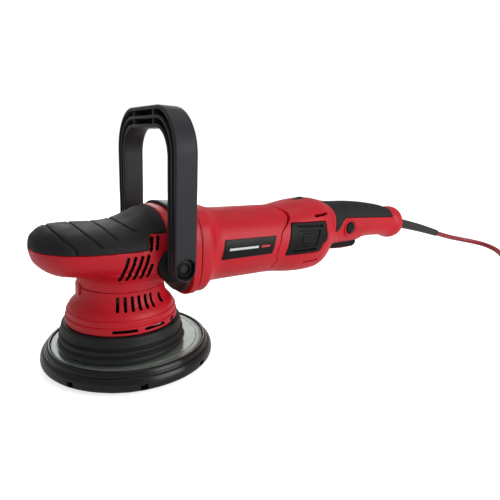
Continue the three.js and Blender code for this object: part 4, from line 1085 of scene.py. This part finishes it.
# ---- rear shells -------------------------------------------------------------------------------------------------------
BACK = [[420, 40], [145.3, 40]] + [[p[0] + 0.4, p[1]] for p in SEAM_S] + [[151.4, 165], [420, 165]]
GRIP_LINE = [[221, 150], [221.5, 138.5], [229, 134], [233.5, 128], [235, 121], [233.6, 105.5], [236.5, 104.6], [242, 107.2], [246, 113], [250.5, 118.8], [256, 119.8], [341, 115.6], [341, 150]]
GRIP_OUT = [[220.6, 150], [221.1, 138.3], [228.7, 133.7], [233.1, 127.9], [234.6, 121], [233.2, 105.3], [236.6, 104.2], [242.3, 106.9], [246.3, 112.7], [250.7, 118.4], [256, 119.4], [341.4, 115.2], [341.4, 150]]
GRIP_LINE = np.concatenate([[[221, 160]], rounded(GRIP_LINE, 2.5, 3)[4:-4], [[341, 160]]]).tolist()
GRIP_OUT = np.concatenate([[[220.6, 160]], rounded(GRIP_OUT, 2.5, 3)[4:-4], [[341.4, 160]]]).tolist()
COVER = [[161.5, 121.8], [205.5, 121.6], [206.4, 112], [208.4, 107.5], [206.8, 101], [201.6, 98.6], [196.6, 90.4], [154.4, 89.2]]
COVER_O = [[161.2, 122.2], [205.8, 122], [206.8, 112], [208.8, 107.5], [207.1, 100.8], [201.9, 98.2], [196.9, 90], [153.8, 88.8]]
COVER_R, COVER_OR = rounded(COVER, 1.6).tolist(), rounded(COVER_O, 1.8).tolist()
VENTS_R = [(193, 127.2, 211, 128.6, 1.2), (180, 79.2, 197, 80.6, 1.2)]
SCREWS = [(217, 82), (222, 127), (296, 104), (328, 104)]
xs = spaced((142, 166, 0.55), (166, 214, 0.8), (214, 262, 0.6), (262, 340, 1.2), (340, 362, 0.7), (362, 367.2, 0.4))
for side, s in (("left", -1), ("right", 1)):
    a0, a1 = (math.pi / 2, 3 * math.pi / 2) if s < 0 else (-math.pi / 2, math.pi / 2)
    th = even_angles(REAR, 190, 200, a0, a1)
    extra = np.array([0.004, 0.009, 0.016])
    th = np.sort(np.concatenate([th, th[0] + extra, th[-1] - extra]))
    base = loft(REAR, xs, th)
    nrm = normals(base, False)
    X, Y, Z = base[..., 0], base[..., 1], base[..., 2]
    depth = edge(-sd_poly(X, Z, BACK), 0.6, 2.9, 0.4)
    depth = np.maximum(depth, edge(sd_poly(X, Z, GRIP_OUT), 0.5, 2.2, 0.4))
    depth = np.maximum(depth, edge(np.where(np.abs(Y) > 18, sd_poly(X, Z, COVER_OR), 9), 0.5, 2.9, 0.4))
    depth = np.maximum(depth, edge(np.abs(Y), 0.35, 0.35, 0.3) * 0.8)
    hole = sd_poly(X, Z, BACK) > 0.8
    for v in VENTS_R:
        sd = np.where(np.abs(Y) > 15, sd_capsule(X, Z, *v), 9)
        depth = np.maximum(depth, edge(sd, 0.35, 3.0, 0.35))
        hole |= sd < -0.5
    sd = np.where(Z < 100, sd_poly(X, Y, [[238, -9.3], [287.4, -9.3], [287.4, 9.3], [238, 9.3]]), 9)
    depth = np.maximum(depth, edge(sd, 0.4, 3.0, 0.3))
    hole |= sd < -0.4
    sd = np.where(Z > 125, sd_poly(X, Y, [[187, -3.7], [209, -3.7], [209, 3.7], [187, 3.7]]), 9)
    depth = np.maximum(depth, edge(sd, 0.4, 3.0, 0.3))
    hole |= sd < -0.4
    if s > 0:
        for x, z in SCREWS:
            sd = np.hypot(X - x, Z - z) - 3.7
            depth = np.maximum(depth, edge(sd, 0.5, 3.0, 0.3))
            hole |= sd < -0.5
    else:
        # raised collar round the lock button, and the way for it
        rr_ = np.hypot(X - 260.4, Z - 107.6)
        depth = np.maximum(depth, edge(rr_ - 7.0, 0.5, 3.0, 0.3))
        depth = np.where((rr_ > 7.6) & (rr_ < 12), depth + groove(np.abs(rr_ - 10.4), 0.6, 0.35), depth)
        hole |= rr_ < 6.6
    outer = base - nrm * depth[..., None]
    inner = base - nrm * 3.2
    # stay on this side of the middle
    for g in (outer, inner):
        g[..., 1] = s * np.maximum(np.abs(g[..., 1]) if True else 0, 0.15)
    b = Build()
    b.skin(outer, inner, ~face_any(hole))
    if s < 0:
        prof = [[7.0, -16.6], [10.0, -16.6], [10.0, -20.6], [9.4, -21.2], [8.6, -21.2], [8.2, -20.4], [7.0, -20.2]]
        b.lathe(prof, 64, (260.4, 107.6), "Y")
    b.make(f"rear_shell_moulding_{side}", RED, "housing", [f"rear_shell_{side}"])

# soft grip on the rear handle
xs_g = spaced((218, 262, 0.6), (262, 338, 1.0), (338, 344, 0.5))
th = even_angles(REAR, 240, 240, math.radians(-22), math.radians(202))
base = loft(REAR, xs_g, th)
nrm = normals(base, False)
X, Y, Z = base[..., 0], base[..., 1], base[..., 2]
sd = -sd_poly(X, Z, GRIP_LINE)
depth = edge(sd, 0.6, 1.7, 0.5)
for xg in (252.5, 292.5):
    depth = np.maximum(depth, groove(np.abs(X - xg - (Z - 125) * 0.12), 0.8, 0.6) * (sd > 0.6))
outer = base - nrm * depth[..., None]
inner = base - nrm * 1.95
b = Build()
b.skin(outer, inner, ~face_any(sd < -0.7))
b.make("handle_grip_skin", GRIP, "housing", ["handle_grip"])

# brush covers
for side, s in (("left", -1), ("right", 1)):
    xs_b = spaced((152, 210.5, 0.45))
    mid_a = math.pi if s < 0 else 0
    th = even_angles(REAR, 180, 110, mid_a - math.radians(34), mid_a + math.radians(46) if s > 0 else mid_a + math.radians(34))
    if s < 0:
        th = even_angles(REAR, 180, 110, math.radians(180 - 46), math.radians(180 + 34))
    base = loft(REAR, xs_b, th)
    nrm = normals(base, False)
    X, Y, Z = base[..., 0], base[..., 1], base[..., 2]
    sd = -sd_poly(X, Z, COVER_R)
    depth = edge(sd, 0.8, 2.3, 0.45)
    panel = -sd_poly(X, Z, rounded([[169, 113.6], [196.5, 113.2], [192.6, 97.4], [164.6, 97.2]], 1.2).tolist())
    depth = np.maximum(depth, np.where(panel > -0.5, 1.5 * smooth01((panel + 0.4) / 0.8), 0))
    inner_sq = -sd_poly(X, Z, rounded([[175, 110.6], [189.5, 110.4], [186.6, 100.4], [172, 100.2]], 0.8).tolist())
    depth = depth - np.where(inner_sq > -0.4, 0.8 * smooth01((inner_sq + 0.3) / 0.6), 0)
    for v in ((168, 117.6, 199, 117.4, 1.0), (163, 93.4, 190, 93.8, 1.0)):
        sdv = sd_capsule(X, Z, *v)
        depth = np.maximum(depth, edge(sdv, 0.3, 2.2, 0.3))
    depth = np.maximum(depth, groove(np.abs(sd_capsule(X, Z, 203.4, 104.4, 203.4, 109.8, 2.2)), 0.5, 0.5))
    outer = base - nrm * depth[..., None]
    inner = base - nrm * 2.5
    b = Build()
    b.skin(outer, inner, ~face_any(sd < -0.7))
    b.make(f"brush_cover_panel_{side}", BLACK, "housing", [f"brush_cover_{side}"])

# ---- trigger, lock button, dial ---------------------------------------------------------------------------------------------
TRIG = [[240.6, 84.2], [244, 81.6], [262, 80.8], [281, 81.6], [285.4, 84.6], [285.8, 90], [281, 94.4], [243, 94.4], [240.6, 92]]
b = Build()
b.prism(densify(rounded(TRIG, 2.4, 5), 1.5), -8.6, 8.6, "Y", 1.8, 6)
cz = np.concatenate(b.v)
for i, q in enumerate(b.f):
    zc = cz[list(q)].mean(0)
    if zc[2] < 82.2 and len(q) == 4:
        b.m[i] = 1
b.make("trigger_paddle", [BLACK, RED], "trigger", ["trigger"], 50)
b = Build()
prof = [[0, -20.7], [3.4, -20.8], [5.2, -21.0], [5.9, -21.2], [6.3, -20.8], [6.4, -20.0], [6.4, -12.2], [6.0, -11.9], [0, -11.9]]
b.lathe(prof, 64, (260.4, 107.6), "Y", closed=False)
b.make("lock_button_cap", BLACK, "lock_button", ["lock_button"])
b = Build()
prof = [[0, -3.2], [9.6, -3.2], [10.2, -2.8], [10.4, -2.2], [10.4, 2.2], [10.2, 2.8], [9.6, 3.2], [0, 3.2]]
b.lathe(prof, 240, (198, 132.6), "Y", 0, lambda r, h, t: np.where(r > 9.9, -0.35 * (0.5 + 0.5 * np.cos(30 * t)), 0), closed=False)
b.make("speed_dial_wheel", BLACK, "speed_dial", ["speed_dial"], 50)

# ---- stage and light ------------------------------------------------------------------------------------------------------------
fl = bpy.data.meshes.new("floor")
S = 60.0
n_ = 2
fl.from_pydata([(-S, -S, -0.0003), (S, -S, -0.0003), (S, S, -0.0003), (-S, S, -0.0003)], [], [(0, 1, 2, 3)])
floor = bpy.data.objects.new("floor", fl)
bpy.context.scene.collection.objects.link(floor)
fm = bpy.data.materials.new("floor_pale")
fm.use_nodes = True
fm.node_tree.nodes["Principled BSDF"].inputs["Base Color"].default_value = (0.93, 0.93, 0.93, 1)
fm.node_tree.nodes["Principled BSDF"].inputs["Roughness"].default_value = 0.7
fm.node_tree.nodes["Principled BSDF"].inputs["Specular IOR Level"].default_value = 0.1
fm.node_tree.nodes["Principled BSDF"].inputs["Emission Color"].default_value = (1, 1, 1, 1)
flp = fm.node_tree.nodes.new("ShaderNodeLightPath")
fmr = fm.node_tree.nodes.new("ShaderNodeMapRange")
fmr.inputs["To Min"].default_value = 0.0
fmr.inputs["To Max"].default_value = 0.7
fm.node_tree.links.new(flp.outputs["Is Camera Ray"], fmr.inputs["Value"])
fm.node_tree.links.new(fmr.outputs[0], fm.node_tree.nodes["Principled BSDF"].inputs["Emission Strength"])
fl.materials.append(fm)

world = bpy.data.worlds.new("studio")
bpy.context.scene.world = world
world.use_nodes = True
world.node_tree.nodes["Background"].inputs[0].default_value = (1, 1, 1, 1)
bg = world.node_tree.nodes["Background"]
lp = world.node_tree.nodes.new("ShaderNodeLightPath")
mr = world.node_tree.nodes.new("ShaderNodeMapRange")
mr.inputs["To Min"].default_value = 0.38
mr.inputs["To Max"].default_value = 1.0
world.node_tree.links.new(lp.outputs["Is Camera Ray"], mr.inputs["Value"])
world.node_tree.links.new(mr.outputs[0], bg.inputs[1])


def area(name, loc, target, size, power):
    ld = bpy.data.lights.new(name, "AREA")
    ld.shape = "RECTANGLE"
    ld.size, ld.size_y = size
    ld.energy = power
    lo = bpy.data.objects.new(name, ld)
    lo.location = loc
    d = Vector(target) - Vector(loc)
    lo.rotation_euler = d.to_track_quat("-Z", "Y").to_euler()
    bpy.context.scene.collection.objects.link(lo)


area("key", (0.65, -1.0, 0.5), (0.12, 0, 0.08), (0.8, 0.8), 8)
area("top", (0.25, 0.1, 1.5), (0.1, 0, 0.08), (1.2, 0.9), 4)
area("back", (0.3, 1.1, 0.6), (0.1, 0, 0.08), (0.8, 0.6), 4)
sc = bpy.context.scene
sc.view_settings.view_transform = "Standard"
sc.view_settings.look = "None"
sc.view_settings.exposure = 0.0
